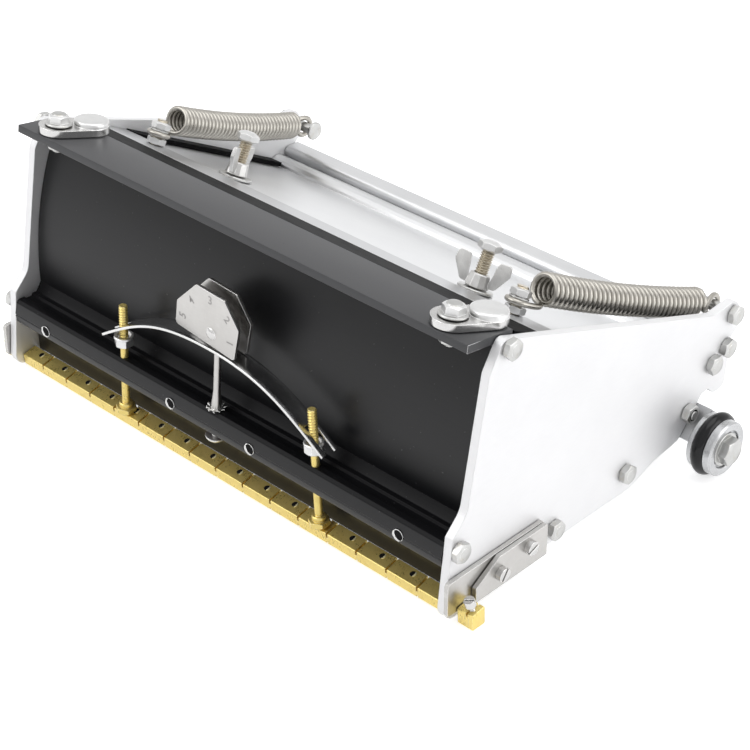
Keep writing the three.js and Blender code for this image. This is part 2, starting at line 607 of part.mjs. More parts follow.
function springPath(side) {
  const normal = zAxis.clone().applyAxisAngle(xAxis, -rad(lid.slope));
  const rearward = yAxis.clone().applyAxisAngle(xAxis, -rad(lid.slope));
  const stud = new THREE.Vector3(side * studX, hinge.y, hinge.z)
    .addScaledVector(rearward, -studU).addScaledVector(normal, hookHeight);
  const coilEndX = side * (half - springAnchor.inside / 2);
  const anchor = new THREE.Vector3(coilEndX, anchorPlace[0], anchorPlace[1]);
  const way = anchor.clone().sub(stud).normalize();
  const lift = new THREE.Vector3().crossVectors(xAxis, way).normalize();
  const off = (point, along, above) => point.clone().addScaledVector(way, along).addScaledVector(lift, above);
  const start = off(stud, spring.startAlong, spring.startLift);
  start.x += side * spring.startShift;
  const end = off(anchor, -spring.endAlong, spring.endLift);

  const sideways = xAxis.clone().multiplyScalar(side);
  const frontHook = arcPoints(stud, sideways, rearward, spring.hookRadius, hookAngles.front);
  const inward = way.clone().setX(0).normalize();
  const overTop = new THREE.Vector3().crossVectors(xAxis, inward);
  const rearHook = arcPoints(anchor, inward, overTop, spring.hookRadius, hookAngles.rear);
  const coil = coilPoints(start, end, side);
  const [frontBridge, rearBridge] = [bridgePoints(frontHook, coil), bridgePoints(coil, rearHook)];
  return [...frontHook, ...frontBridge, ...coil, ...rearBridge, ...rearHook];
}

// Closed tube of few sides along a list of points, its rings kept from twisting
function wireTube(points, radius, count) {
  const corners = [];
  const faces = [];
  let ring = new THREE.Vector3();
  points.forEach((point, i) => {
    const before = points[Math.max(i - 1, 0)];
    const after = points[Math.min(i + 1, points.length - 1)];
    const way = after.clone().sub(before).normalize();
    if (i === 0) ring = new THREE.Vector3().crossVectors(way, Math.abs(way.z) < upright ? zAxis : xAxis);
    ring = ring.addScaledVector(way, -ring.dot(way)).normalize();
    const other = new THREE.Vector3().crossVectors(way, ring);
    for (let k = 0; k < count; k += 1) {
      const turn = 2 * Math.PI * k / count;
      const corner = point.clone()
        .addScaledVector(ring, radius * Math.cos(turn)).addScaledVector(other, radius * Math.sin(turn));
      corners.push(corner.x, corner.y, corner.z);
      if (i === 0) continue;
      const here = i * count + k;
      const next = i * count + (k + 1) % count;
      faces.push(here - count, next - count, next, here - count, next, here);
    }
  });
  const last = (points.length - 1) * count;
  for (let k = 1; k < count - 1; k += 1) {
    faces.push(0, k + 1, k, last, last + k, last + k + 1);
  }
  const geometry = new THREE.BufferGeometry();
  geometry.setAttribute('position', new THREE.Float32BufferAttribute(corners, 3));
  geometry.setIndex(faces);
  return geometry;
}

// Least gap between parts of one wire that are more than half a turn apart
function leastGap(points, radius) {
  const skip = Math.ceil(stepsPerTurn / 2) + 1;
  const samples = 4;
  let least = Infinity;
  const here = new THREE.Line3();
  const other = new THREE.Line3();
  const a = new THREE.Vector3();
  for (let i = 0; i < points.length - 1; i += 1) {
    for (let j = i + skip; j < points.length - 1; j += 1) {
      if (points[i].distanceTo(points[j]) > 4 * spring.coilRadius) continue;
      here.set(points[i], points[i + 1]);
      other.set(points[j], points[j + 1]);
      for (let k = 0; k <= samples; k += 1) {
        here.at(k / samples, a);
        const b = other.closestPointToPoint(a, true, new THREE.Vector3());
        least = Math.min(least, a.distanceTo(b) - 2 * radius);
      }
    }
  }
  return least;
}

function buildReturnSprings() {
  sides.forEach(([name, side]) => {
    const points = springPath(side);
    const gap = leastGap(points, spring.wire);
    console.log(`return_spring_${name}: least gap of the wire to itself ${gap.toFixed(2)} mm`);
    if (gap < spring.leastGapWanted) console.log('the coils are too close');
    add(part, `return_spring_${name}`, wireTube(points, spring.wire, springSides), springSteel);
  });
}

// Latches turning on the top flange, each with a raised finger disc
const flangeFrame = new THREE.Group();
flangeFrame.position.set(0, flangeFront.y, flangeFront.z);
flangeFrame.rotation.x = -rad(flange.slope);
part.add(flangeFrame);

function latchShape() {
  const lean = Math.asin((latch.pivotRadius - latch.tipRadius) / latch.reach);
  const edge = latch.bevel;
  const shape = new THREE.Shape();
  shape.absarc(0, 0, latch.pivotRadius - edge, Math.PI - lean, lean, false);
  shape.absarc(0, latch.reach, latch.tipRadius - edge, lean, Math.PI - lean, false);
  shape.holes.push(circle(0, 0, latchBolt.shank + holeGap + edge));
  const plate = new THREE.ExtrudeGeometry(shape, {
    depth: latch.thick - 2 * edge, bevelThickness: edge, bevelSize: edge, bevelSegments: 1,
    curveSegments: 2 * cornerSteps,
  }).translate(0, 0, edge);
  const disc = bar(latchDisc.radius, latch.thick - weld, latch.thick + latchDisc.thick);
  return joined(plate, disc.translate(0, latch.reach, 0));
}

function buildLatches() {
  const shape = latchShape();
  const washerSeat = latch.thick + 2 * seatGap;
  const nutTop = -flange.thick - seatGap;
  const lock = hexagon(latchBolt.flats, 0, latchBolt.nut).rotate([180, 0, 0]);
  const bolt = hexScrew({ ...latchBolt, length: washerSeat - nutTop + latchBolt.nut + latchBolt.proud })
    .add(lock.translate([0, 0, nutTop - washerSeat]));
  sides.forEach(([name, side]) => {
    const mesh = add(flangeFrame, `latch_${name}`, shape, stainless);
    mesh.position.set(side * latchX, latch.back, seatGap);
    mesh.rotation.z = -rad(latch.turn);
    const boltMesh = add(flangeFrame, `latch_bolt_${name}`, bolt, zincSteel);
    boltMesh.position.set(side * latchX, latch.back, washerSeat);
  });
}

// Segmented brass blade holder: one bar, sawn part way through from above and below
function buildBladeHolder() {
  const end = insideLength / 2;
  const [[, low], [deep], [highY, high], [, topFront]] = holderCorners;
  const topSlope = Math.atan2(high - topFront, highY);
  const cuts = Math.floor(end / sawCut.pitch);
  const tools = [];
  for (let i = -cuts; i <= cuts; i += 1) {
    const [left, right] = [i * sawCut.pitch - sawCut.width / 2, i * sawCut.pitch + sawCut.width / 2];
    const upper = box(left, right, -over, deep + over, -sawCut.topDepth, deep);
    tools.push(upper.rotateX(topSlope).translate(0, 0, topFront));
    tools.push(box(left, right, -over, sawCut.lowReach, low - over, low + sawCut.lowDepth));
  }
  for (let i = -cuts - 1; i <= cuts; i += 1) {
    const x = (i + dimple.share) * sawCut.pitch;
    const z = topFront + dimple.y * Math.tan(topSlope);
    if (Math.abs(x) > end - sawCut.width - dimple.radius) continue;
    tools.push(bar(dimple.radius, z - dimple.depth, high + over, dimple.sides).translate(x, dimple.y, 0));
  }
  const [slotFront, slotRear] = [blade.y - holeGap, blade.y + blade.thick + holeGap];
  tools.push(box(-end - over, end + over, slotFront, slotRear, low - over, blade.top + holeGap));
  sides.forEach(([, side]) => {
    tools.push(bar(rod.spot, rod.footZ - seatGap, high + over).translate(side * rod.footX, adjusterY, 0));
    const bore = bar(rod.radius + holeGap, -rod.below - holeGap, high, shankSteps);
    tools.push(leaned(bore, -side * rad(rod.slope), side * rod.footX, adjusterY, rod.footZ));
  });
  const made = solid(alongX(outline(holderCorners), -end, end, 1));
  add(part, 'blade_holder', cutFrom(made, ...tools), brass);
  const bladeEnd = end - seatGap;
  add(part, 'blade', box(-bladeEnd, bladeEnd, blade.y, blade.y + blade.thick, 0, blade.top), bladeSteel);
}

function buildAdjusters() {
  const rodShape = hexagon(rod.flats, 0, rod.nut)
    .add(solid(bar(rod.radius, -rod.below, rod.length, shankSteps)));
  const nutTop = rodNut.thick + rodNut.washerThick;
  const nutShape = cutFrom(
    hexagon(rodNut.flats, 0, rodNut.thick + weld).add(solid(bar(rodNut.washer, rodNut.thick, nutTop))),
    bar(rod.radius + turnGap, -over, nutTop + over, shankSteps),
  );
  sides.forEach(([name, side]) => {
    const frame = new THREE.Group();
    frame.position.set(side * rod.footX, adjusterY, rod.footZ);
    frame.rotation.y = -side * rad(rod.slope);
    part.add(frame);
    add(frame, `adjuster_rod_${name}`, rodShape, brass);
    const nut = add(frame, `adjuster_nut_${name}`, nutShape, stainless);
    nut.position.z = rodNut.from;
  });
}

// Bow spring: a flat leaf bent over the post, forked at both ends round the rods
function buildBowSpring() {
  const turn = rad(bow.endSlope);
  const halfCurve = new THREE.CubicBezierCurve(
    new THREE.Vector2(0, bowTop), new THREE.Vector2(bow.midPull, bowTop),
    new THREE.Vector2(bow.endX - bow.endPull * Math.cos(turn), bow.endZ + bow.endPull * Math.sin(turn)),
    new THREE.Vector2(bow.endX, bow.endZ),
  );
  const upper = [];
  const lower = [];
  for (let i = -bowSteps; i <= bowSteps; i += 1) {
    const t = Math.abs(i) / bowSteps;
    const side = Math.sign(i) || 1;
    const point = halfCurve.getPoint(t);
    const way = halfCurve.getTangent(t);
    const out = new THREE.Vector2(-way.y, way.x).multiplyScalar(bow.thick / 2);
    upper.push(new THREE.Vector2(side * (point.x + out.x), point.y + out.y));
    lower.push(new THREE.Vector2(side * (point.x - out.x), point.y - out.y));
  }
  const strip = alongY(new THREE.Shape([...upper, ...lower.reverse()]), bow.front, bow.front + bow.width);
  const postX = (bowTop - foot.topZ) * Math.tan(rad(post.slope));
  const postHole = bar(bowSlot.postHole, bowTop - bow.width, bowTop + bow.width, shankSteps);
  const tools = [postHole.translate(postX, adjusterY, 0)];
  const [slotFront, slotRear] = [adjusterY - bowSlot.width / 2, adjusterY + bowSlot.width / 2];
  sides.forEach(([, side]) => {
    const [low, high] = [side * bowSlot.from, side * (bow.endX + over)].sort((a, b) => a - b);
    tools.push(box(low, high, slotFront, slotRear, 0, bowTop));
  });
  add(part, 'bow_spring', cutFrom(solid(strip), ...tools), stainless);
}

// Post with an eye at its top, riveted under the foot, and the cam dial that turns in the eye
function buildDial() {
  const frame = new THREE.Group();
  frame.position.set(0, adjusterY, foot.topZ);
  frame.rotation.y = rad(post.slope);
  part.add(frame);
  const underSlope = (foot.lowZ - foot.recessTop) / (foot.recessY - foot.lowY);
  const headDrop = (adjusterY + postHead.radius - foot.lowY) * underSlope;
  const under = foot.topZ - foot.lowZ + headDrop + 3 * seatGap;
  const eye = bar(post.eye, -post.eyeWidth / 2, post.eyeWidth / 2).rotateX(Math.PI / 2)
    .translate(0, dial.centreY - adjusterY, post.length);
  const pinHole = bar(dial.pin + turnGap, -post.eyeWidth, post.eyeWidth).rotateX(Math.PI / 2);
  const made = joined(
    bar(post.radius, -under - weld, post.length, shankSteps),
    bar(post.footRadius, seatGap, post.flare, shankSteps, post.radius),
    bar(post.ring, seatGap, seatGap + post.ringThick, shankSteps),
    bar(postHead.crownRadius, -under - postHead.thick, -under, shankSteps, postHead.radius),
    eye,
  );
  add(frame, 'dial_post', cutFrom(made, pinHole.translate(0, 0, post.length)), stainless);

  const wide = dial.width / 2;
  const shape = outline(dialCorners);
  const cam = joined(
    alongY(shape, -wide, -wide + dial.plate),
    alongY(shape, wide - dial.plate, wide),
    bar(dial.pin, -wide, wide).rotateX(Math.PI / 2),
    bar(dial.head, wide - weld, wide + dial.headThick, roundSteps, dial.crown).rotateX(Math.PI / 2),
    bar(dial.crown, -wide - dial.headThick, -wide + weld, roundSteps, dial.head).rotateX(Math.PI / 2),
  );
  const mesh = add(part, 'crown_dial', cam, stainless);
  mesh.position.set(dialPin.x, dial.centreY, dialPin.z);
}

// Low and high x of something so far out from a side plate and so wide
function outsideSpan(side, from, width) {
  return [side * (plateOuter + from), side * (plateOuter + from + width)].sort((a, b) => a - b);
}

// Skids outside the plates: a plate, its cover and a brass shoe
function buildSkids() {
  const coverAt = 2 * seatGap + skidThick;
  sides.forEach(([name, side]) => {
    const span = (from, width) => outsideSpan(side, from, width);
    const skid = alongX(outline(skidCorners), ...span(seatGap, skidThick), 1);
    const cover = alongX(outline(skidCoverCorners), ...span(coverAt, skidThick), 1);
    add(part, `skid_plate_${name}`, skid, stainless);
    add(part, `skid_cover_${name}`, cover, stainless);
    const [, [shoeRear], [, shoeTop]] = shoeCorners;
    const made = joined(
      alongX(outline(shoeCorners), ...span(coverAt, shoe.width), 1),
      box(...span(coverAt, shoe.bossWidth), shoe.bossFront, shoe.bossRear, shoeTop / 2, shoe.bossTop),
    );
    const cutSpan = span(coverAt + shoe.cutAt, shoe.cutWidth);
    const cut = box(...cutSpan, -over, shoeRear + over, shoeTop - shoe.cutDepth, shoeTop + over);
    add(part, `skid_shoe_${name}`, cutFrom(made, cut), brass);
  });
}

// Axle bar along the slanted heel, and the wheels that turn on bolts in its ends
const axleMiddle = heelPoint(axle.width / 2, seatGap + axle.thick / 2);
const wheelCentre = heelPoint(axle.boltAlong, seatGap + axle.thick / 2);

function buildAxle() {
  const raw = box(-axleEnd, axleEnd, -axle.width / 2, axle.width / 2, -axle.thick / 2, axle.thick / 2)
    .rotateX(rad(heelSlope)).translate(0, ...axleMiddle);
  const from = axleEnd - wheelBolt.intoAxle - over;
  const place = [...wheelCentre, wheelBolt.shank];
  const bores = sides.flatMap(([, side]) => sideBores(side, from, axleEnd + over, [place]));
  add(part, 'axle_bar', cutFrom(solid(raw), ...bores), greyAluminium);
}

function turned(points, steps) {
  const profile = points.map(([radius, along]) => new THREE.Vector2(radius, along));
  profile.push(profile[0].clone());
  return new THREE.LatheGeometry(profile, steps).rotateX(Math.PI / 2);
}

function buildWheels() {
  const [wheelY, wheelZ] = wheelCentre;
  const ringRadius = wheelZ - wheel.tyreRadius;
  const groove = wheel.tyreRadius + seatGap;
  const open = Math.acos((wheel.flangeRadius - ringRadius) / groove);
  const grooveArc = Array.from({ length: grooveSteps + 1 }, (_, i) => {
    const t = open + (2 * Math.PI - 2 * open) * i / grooveSteps;
    return [ringRadius + groove * Math.cos(t), wheel.tyreAt - groove * Math.sin(t)];
  });
  const bore = wheelBolt.shank + turnGap;
  const floorAt = wheel.width - wheel.recess;
  const hub = turned([
    [bore, 0], [wheel.flangeRadius, 0], ...grooveArc, [wheel.flangeRadius, wheel.width],
    [wheel.recessRadius, wheel.width], [wheel.recessRadius, floorAt], [bore, floorAt],
  ], wheelSteps);
  const tyre = new THREE.TorusGeometry(ringRadius, wheel.tyreRadius, grooveSteps + 2, wheelSteps);
  const bolt = hexScrew({ ...wheelBolt, length: floorAt + seatGap + wheel.gap + wheelBolt.intoAxle });
  sides.forEach(([name, side]) => {
    const frame = new THREE.Group();
    frame.position.set(side * (axleEnd + wheel.gap), wheelY, wheelZ);
    frame.rotation.y = side * Math.PI / 2;
    part.add(frame);
    add(frame, `wheel_hub_${name}`, solid(hub), brightAluminium);
    add(frame, `wheel_tyre_${name}`, tyre, blackRubber).position.z = wheel.tyreAt;
    add(frame, `wheel_bolt_${name}`, bolt, zincSteel).position.z = floorAt + seatGap;
  });
}

buildSidePlates();
buildPlateScrews();
buildFrontWall();
buildFloor();
buildRearMember();
buildHingeRod();
buildPressurePlate();
buildSeals();
buildSpringStuds();
buildHandleBolts();
buildReturnSprings();
buildLatches();
buildBladeHolder();
buildAdjusters();
buildBowSpring();
buildDial();
buildSkids();
buildAxle();
buildWheels();

// The origin is the middle of the base of everything above
const bounds = new THREE.Box3().setFromObject(part, true);
part.position.x = -(bounds.min.x + bounds.max.x) / 2;
part.position.y = -(bounds.min.y + bounds.max.y) / 2;

export default part;
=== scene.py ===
"""Looks of the flat finishing box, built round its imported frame.

Blender works in metres. Sizes here are in millimetres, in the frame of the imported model: +X along
the blade, +Y from the blade to the wheels, +Z up. Piece.build turns them into metres.
"""

import json
import logging
import math
from dataclasses import dataclass
from enum import Enum
from typing import Iterable, Optional, Sequence, Union

import bmesh
import bpy
from mathutils import Matrix, Vector


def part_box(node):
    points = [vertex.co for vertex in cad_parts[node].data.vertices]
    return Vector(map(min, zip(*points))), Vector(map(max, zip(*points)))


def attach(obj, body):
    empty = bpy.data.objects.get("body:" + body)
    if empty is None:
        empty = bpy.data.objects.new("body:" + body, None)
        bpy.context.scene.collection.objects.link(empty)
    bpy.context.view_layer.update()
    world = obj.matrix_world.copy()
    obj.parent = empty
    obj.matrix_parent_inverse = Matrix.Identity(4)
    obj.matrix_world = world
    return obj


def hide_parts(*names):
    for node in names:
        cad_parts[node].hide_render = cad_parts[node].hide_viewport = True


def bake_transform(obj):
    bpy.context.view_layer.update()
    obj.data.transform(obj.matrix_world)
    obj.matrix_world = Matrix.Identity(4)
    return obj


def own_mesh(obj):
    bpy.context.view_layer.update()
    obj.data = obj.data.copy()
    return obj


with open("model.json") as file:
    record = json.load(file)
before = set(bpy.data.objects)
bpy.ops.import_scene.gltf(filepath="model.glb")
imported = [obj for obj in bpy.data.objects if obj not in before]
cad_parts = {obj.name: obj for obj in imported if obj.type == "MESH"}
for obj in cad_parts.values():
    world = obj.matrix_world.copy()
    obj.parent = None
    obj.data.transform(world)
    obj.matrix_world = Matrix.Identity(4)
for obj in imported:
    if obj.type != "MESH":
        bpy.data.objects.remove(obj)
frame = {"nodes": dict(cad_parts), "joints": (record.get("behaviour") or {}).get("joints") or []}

LOG = logging.getLogger("flat_box")
MM = 0.001
SIDES: tuple[tuple[str, int], ...] = (("left", -1), ("right", 1))
LID_SLOPE = math.radians(28.1)
FLANGE_SLOPE = math.radians(9)
PLATE_FACE = 103.0
PLATE_THICK = 3.0
ANCHOR_INSIDE = 11.0
SEAT = 0.3
AXIS_X, AXIS_Z, FORWARD = Vector((1, 0, 0)), Vector((0, 0, 1)), Vector((0, -1, 0))
DRAWN_ACROSS = Matrix(((0, 0, 1, 0), (1, 0, 0, 0), (0, 1, 0, 0), (0, 0, 0, 1)))

Pair = tuple[float, float]
Triple = tuple[float, float, float]
Zone = tuple[tuple[int, float, float], ...]
Faces = list[tuple[int, ...]]
Mesh = tuple[list[Vector], Faces]


def node_box(name: str) -> tuple[Vector, Vector]:
    """Lowest and highest corner of a node of the frame.

    Args:
        name: The node.

    Returns:
        The two corners, in millimetres.
    """
    low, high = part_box(name)
    return low / MM, high / MM


def node_middle(name: str) -> Vector:
    """Middle of a node's box, in millimetres."""
    low, high = node_box(name)
    return (low + high) / 2


def joint_place(name: str) -> Vector:
    """Point that a joint turns about, in millimetres."""
    found = next(joint for joint in frame["joints"] if joint["name"] == name)
    return Vector(found["pos_m"]) / MM


HINGE = Vector((0, node_middle("hinge_rod").y, node_middle("hinge_rod").z))
DIAL_SET_BACK = 1.7
DRAWN = joint_place("dial_turn").y - DIAL_SET_BACK


def lid_point(x: float, forward: float, above: float) -> Vector:
    """A point on the pressure plate.

    Args:
        x: Along the blade.
        forward: Up the slope from the hinge.
        above: Square to the plate, from the hinge's axis.

    Returns:
        The point in the row frame.
    """
    cosine, sine = math.cos(LID_SLOPE), math.sin(LID_SLOPE)
    return HINGE + Vector((x, -forward * cosine + above * sine, forward * sine + above * cosine))


def seated(origin: Vector, axis: Vector, toward: Vector) -> Matrix:
    """Frame of a piece that stands on a seat.

    Args:
        origin: Where the seat is.
        axis: The piece's own +Z.
        toward: Where its own +X points, as near as square to the axis allows.

    Returns:
        The matrix from the piece's own frame.
    """
    up = axis.normalized()
    across = (toward - up * toward.dot(up)).normalized()
    turn = Matrix((across, up.cross(across), up)).transposed().to_4x4()
    return Matrix.Translation(origin) @ turn


def corner_direction(node: str, origin: Vector, axis: Vector, above: float, below: float = 1e9) -> Vector:
    """Where a hexagon of a node has a corner, seen from its axis.

    Args:
        node: The node that holds the hexagon.
        origin: A point on the axis.
        axis: Direction of the axis.
        above: Least height over the origin that counts.
        below: Greatest height over the origin that counts.

    Returns:
        Direction from the axis to a corner.
    """
    best, most = Vector((0, 0, 1)), 0.0
    for vertex in frame["nodes"][node].data.vertices:
        offset = vertex.co / MM - origin
        height = offset.dot(axis)
        across = offset - axis * height
        if above < height < below and across.length > most + 1e-3:
            best, most = across, across.length
    return best


class Signal:
    """Socket of a node that takes part in sums, each of which adds a Math node."""

    def __init__(self, sheet: "NodeSheet", socket: bpy.types.NodeSocket) -> None:
        """Keep the socket and the sheet that it is on."""
        self.sheet = sheet
        self.socket = socket

    def _sum(self, operation: str, first: "Amount", second: "Amount") -> "Signal":
        """Add one Math node."""
        return self.sheet.node("ShaderNodeMath", {"operation": operation}, {0: first, 1: second})

    def __add__(self, other: "Amount") -> "Signal":
        """Sum of the two."""
        return self._sum("ADD", self, other)

    def __radd__(self, other: "Amount") -> "Signal":
        """Sum of the two."""
        return self._sum("ADD", other, self)

    def __sub__(self, other: "Amount") -> "Signal":
        """This less the other."""
        return self._sum("SUBTRACT", self, other)

    def __rsub__(self, other: "Amount") -> "Signal":
        """The other less this."""
        return self._sum("SUBTRACT", other, self)

    def __mul__(self, other: "Amount") -> "Signal":
        """Product of the two."""
        return self._sum("MULTIPLY", self, other)

    def __rmul__(self, other: "Amount") -> "Signal":
        """Product of the two."""
        return self._sum("MULTIPLY", other, self)

    def output(self, name: Union[str, int]) -> "Signal":
        """Another output of the same node."""
        return Signal(self.sheet, self.socket.node.outputs[name])

    def between(self, low: float, high: float) -> "Signal":
        """Smooth step of this value.

        Args:
            low: Value that gives 0.
            high: Value that gives 1; it may be the lower one.

        Returns:
            The step, from 0 to 1.
        """
        ends = {"From Min": low, "From Max": high, "To Min": 0.0, "To Max": 1.0}
        if low > high:
            ends.update({"From Min": high, "From Max": low, "To Min": 1.0, "To Max": 0.0})
        return self.sheet.node("ShaderNodeMapRange", {"interpolation_type": "SMOOTHSTEP"}, {"Value": self, **ends})

    def clamped(self) -> "Signal":
        """This value kept from 0 to 1."""
        return self.sheet.node("ShaderNodeClamp", {}, {"Value": self})


Amount = Union[Signal, float, int]
Setting = Union[Signal, float, int, Sequence[float]]


class NodeSheet:
    """Node tree of one material or world."""

    def __init__(self, owner: Union[bpy.types.Material, bpy.types.World]) -> None:
        """Start a node tree afresh.

        Args:
            owner: What the tree belongs to.
        """
        owner.use_nodes = True
        self.tree = owner.node_tree
        self.tree.nodes.clear()

    def node(
        self, kind: str, settings: Optional[dict] = None, inputs: Optional[dict[Union[str, int], Setting]] = None,
        output: Union[str, int] = 0,
    ) -> Signal:
        """Add a node.

        Args:
            kind: Its type.
            settings: Its own settings, which are set first; stops are a ramp's places and colours.
            inputs: Values or links of its sockets, by name or number.
            output: The output that is wanted.

        Returns:
            That output.
        """
        made = self.tree.nodes.new(kind)
        for name, value in (settings or {}).items():
            if name == "stops":
                self._set_stops(made, value)
            else:
                setattr(made, name, value)
        for key, value in (inputs or {}).items():
            if isinstance(value, Signal):
                self.tree.links.new(value.socket, made.inputs[key])
            else:
                made.inputs[key].default_value = value
        return Signal(self, made.outputs[output]) if len(made.outputs) else Signal(self, made.inputs[0])

    def _set_stops(self, made: bpy.types.Node, stops: Sequence[tuple[float, Triple]]) -> None:
        """Give a colour ramp its stops.

        Args:
            made: The ramp.
            stops: Place and colour of each.
        """
        elements = made.color_ramp.elements
        while len(elements) < len(stops):
            elements.new(0.5)
        for element, (place, colour) in zip(elements, stops):
            element.position = place
            element.color = (*colour, 1.0)

    def place(self) -> Signal:
        """Place on the piece, in millimetres."""
        spot = self.node("ShaderNodeTexCoord", output="Object")
        return self.node("ShaderNodeVectorMath", {"operation": "SCALE"}, {0: spot, "Scale": 1 / MM})

    def noise(self, place: Signal, size: Triple, detail: float = 2.0, rough: float = 0.5) -> Signal:
        """Noise whose cells have a size along each axis.

        Args:
            place: Where it is read.
            size: Size of a cell along X, Y and Z, in millimetres.
            detail: How many finer layers it has.
            rough: Strength of the finer layers.

        Returns:
            Its value, about 0.5 on average.
        """
        shrink = tuple(1 / length for length in size)
        spot = self.node("ShaderNodeVectorMath", {"operation": "MULTIPLY"}, {0: place, 1: shrink})
        inputs = {"Vector": spot, "Scale": 1.0, "Detail": detail, "Roughness": rough}
        return self.node("ShaderNodeTexNoise", {}, inputs)

    def mixed(self, share: Amount, first: Setting, second: Setting) -> Signal:
        """Mix of two colours.

        Args:
            share: How much of the second.
            first: Colour where the share is 0.
            second: Colour where the share is 1.

        Returns:
            The mixed colour.
        """
        settings = {"data_type": "RGBA", "clamp_factor": True}
        colours = [value if isinstance(value, Signal) else (*value, 1.0) for value in (first, second)]
        return self.node("ShaderNodeMix", settings, {0: share, 6: colours[0], 7: colours[1]}, output=2)

    def rounded_edges(self, radius: float) -> tuple[Signal, Signal]:
        """Soft normal of rounded edges, and where they are.

        Args:
            radius: Radius of the edges, in millimetres.

        Returns:
            The normal, and a mask that is 1 at the edges.
        """
        soft = self.node("ShaderNodeBevel", {"samples": 6}, {"Radius": radius * MM})
        plain = self.node("ShaderNodeNewGeometry", output="Normal")
        likeness = self.node("ShaderNodeVectorMath", {"operation": "DOT_PRODUCT"}, {0: soft, 1: plain}, output="Value")
        return soft, likeness.between(0.995, 0.8)

    def relief(self, height: Signal, depth: float, normal: Signal) -> Signal:
        """Normal of a surface with fine relief.

        Args:
            height: Relief from 0 to 1.
            depth: Its depth, in millimetres.
            normal: The normal without it.

        Returns:
            The new normal.
        """
        inputs = {"Height": height, "Distance": depth * MM, "Strength": 1.0, "Normal": normal}
        return self.node("ShaderNodeBump", {}, inputs)

    def seen(self) -> Signal:
        """1 for rays from the camera, from gloss and through clear things."""
        path = self.node("ShaderNodeLightPath", output="Is Camera Ray")
        return (path + path.output("Is Glossy Ray") + path.output("Is Transmission Ray")).clamped()

    def surface(
        self, inputs: dict[Union[str, int], Setting], share: Optional[Signal] = None,
        second: Optional[dict[Union[str, int], Setting]] = None,
    ) -> None:
        """End the material in a Principled shader, or in a mix of two.

        Args:
            inputs: Values or links of the shader's sockets.
            share: How much of the second shader, if there is one.
            second: What differs in the second shader.
        """
        shader = self.node("ShaderNodeBsdfPrincipled", {}, inputs)
        if share and second:
            other = self.node("ShaderNodeBsdfPrincipled", {}, {**inputs, **second})
            shader = self.node("ShaderNodeMixShader", {}, {0: share, 1: shader, 2: other})
        self.node("ShaderNodeOutputMaterial", {}, {"Surface": shader})


@dataclass(frozen=True)
class Finish:
    """A finish, named in a maker's words, with the record's slot that it belongs to."""

    name: str
    slot: str

    def material(self) -> bpy.types.Material:
        """The material of this finish, made once.

        Returns:
            The material.
        """
        found = bpy.data.materials.get(self.name)
        if found:
            return found
        made = bpy.data.materials.new(self.name)
        self.paint(NodeSheet(made))
        return made

    def paint(self, sheet: NodeSheet) -> None:
        """Lay out the nodes.

        Args:
            sheet: The material's sheet.
        """
        raise NotImplementedError


@dataclass(frozen=True)
class Metal(Finish):
    """Bare or plated metal: drawn grain, broad clouds, fine scratches, and edges worn bright."""

    light: Triple = (0.80, 0.80, 0.80)
    dark: Triple = (0.62, 0.62, 0.63)
    worn: Triple = (0.90, 0.90, 0.90)
    roughness: float = 0.3
    spread: float = 0.12
    grain: Triple = (0.2, 0.2, 0.2)
    depth: float = 0.004
    cloud: float = 14.0
    edge: float = 0.3
    scratch: float = 0.25
    stain: Triple = (0.40, 0.38, 0.34)
    stained: float = 0.0
    metallic: float = 1.0
    along: Triple = (9.0, 0.12, 5.0)
    across: Triple = (0.14, 7.0, 6.0)
    blot: Triple = (3.1, 2.6, 2.9)

    def paint(self, sheet: NodeSheet) -> None:
        """Lay out the nodes.

        Args:
            sheet: The material's sheet.
        """
        place = sheet.place()
        grain = sheet.noise(place, self.grain, 3.0, 0.6)
        cloud = sheet.noise(place, (self.cloud,) * 3, 3.0, 0.55)
        lines = sheet.noise(place, self.along, 1.0).between(0.66, 0.72)
        crossing = sheet.noise(place, self.across, 1.0).between(0.68, 0.74)
        scratches = (lines + crossing).clamped() * self.scratch
        soft, edges = sheet.rounded_edges(self.edge)
        tone = (grain * 0.7 + cloud * 0.9 - 0.3).clamped()
        colour = sheet.mixed(tone, self.dark, self.light)
        if self.stained:
            blots = sheet.noise(place, self.blot, 4.0, 0.65).between(0.52, 0.7) * self.stained
            colour = sheet.mixed(blots, colour, self.stain)
        colour = sheet.mixed((edges * 0.8 + scratches * 0.5).clamped(), colour, self.worn)
        rough = self.roughness + (grain - 0.5) * self.spread + (cloud - 0.5) * self.spread
        rough = (rough + scratches * 0.12 - edges * 0.06).clamped()
        height = grain * 0.8 - scratches * 0.6
        normal = sheet.relief(height, self.depth, soft)
        sheet.surface({"Base Color": colour, "Metallic": self.metallic, "Roughness": rough, "Normal": normal})


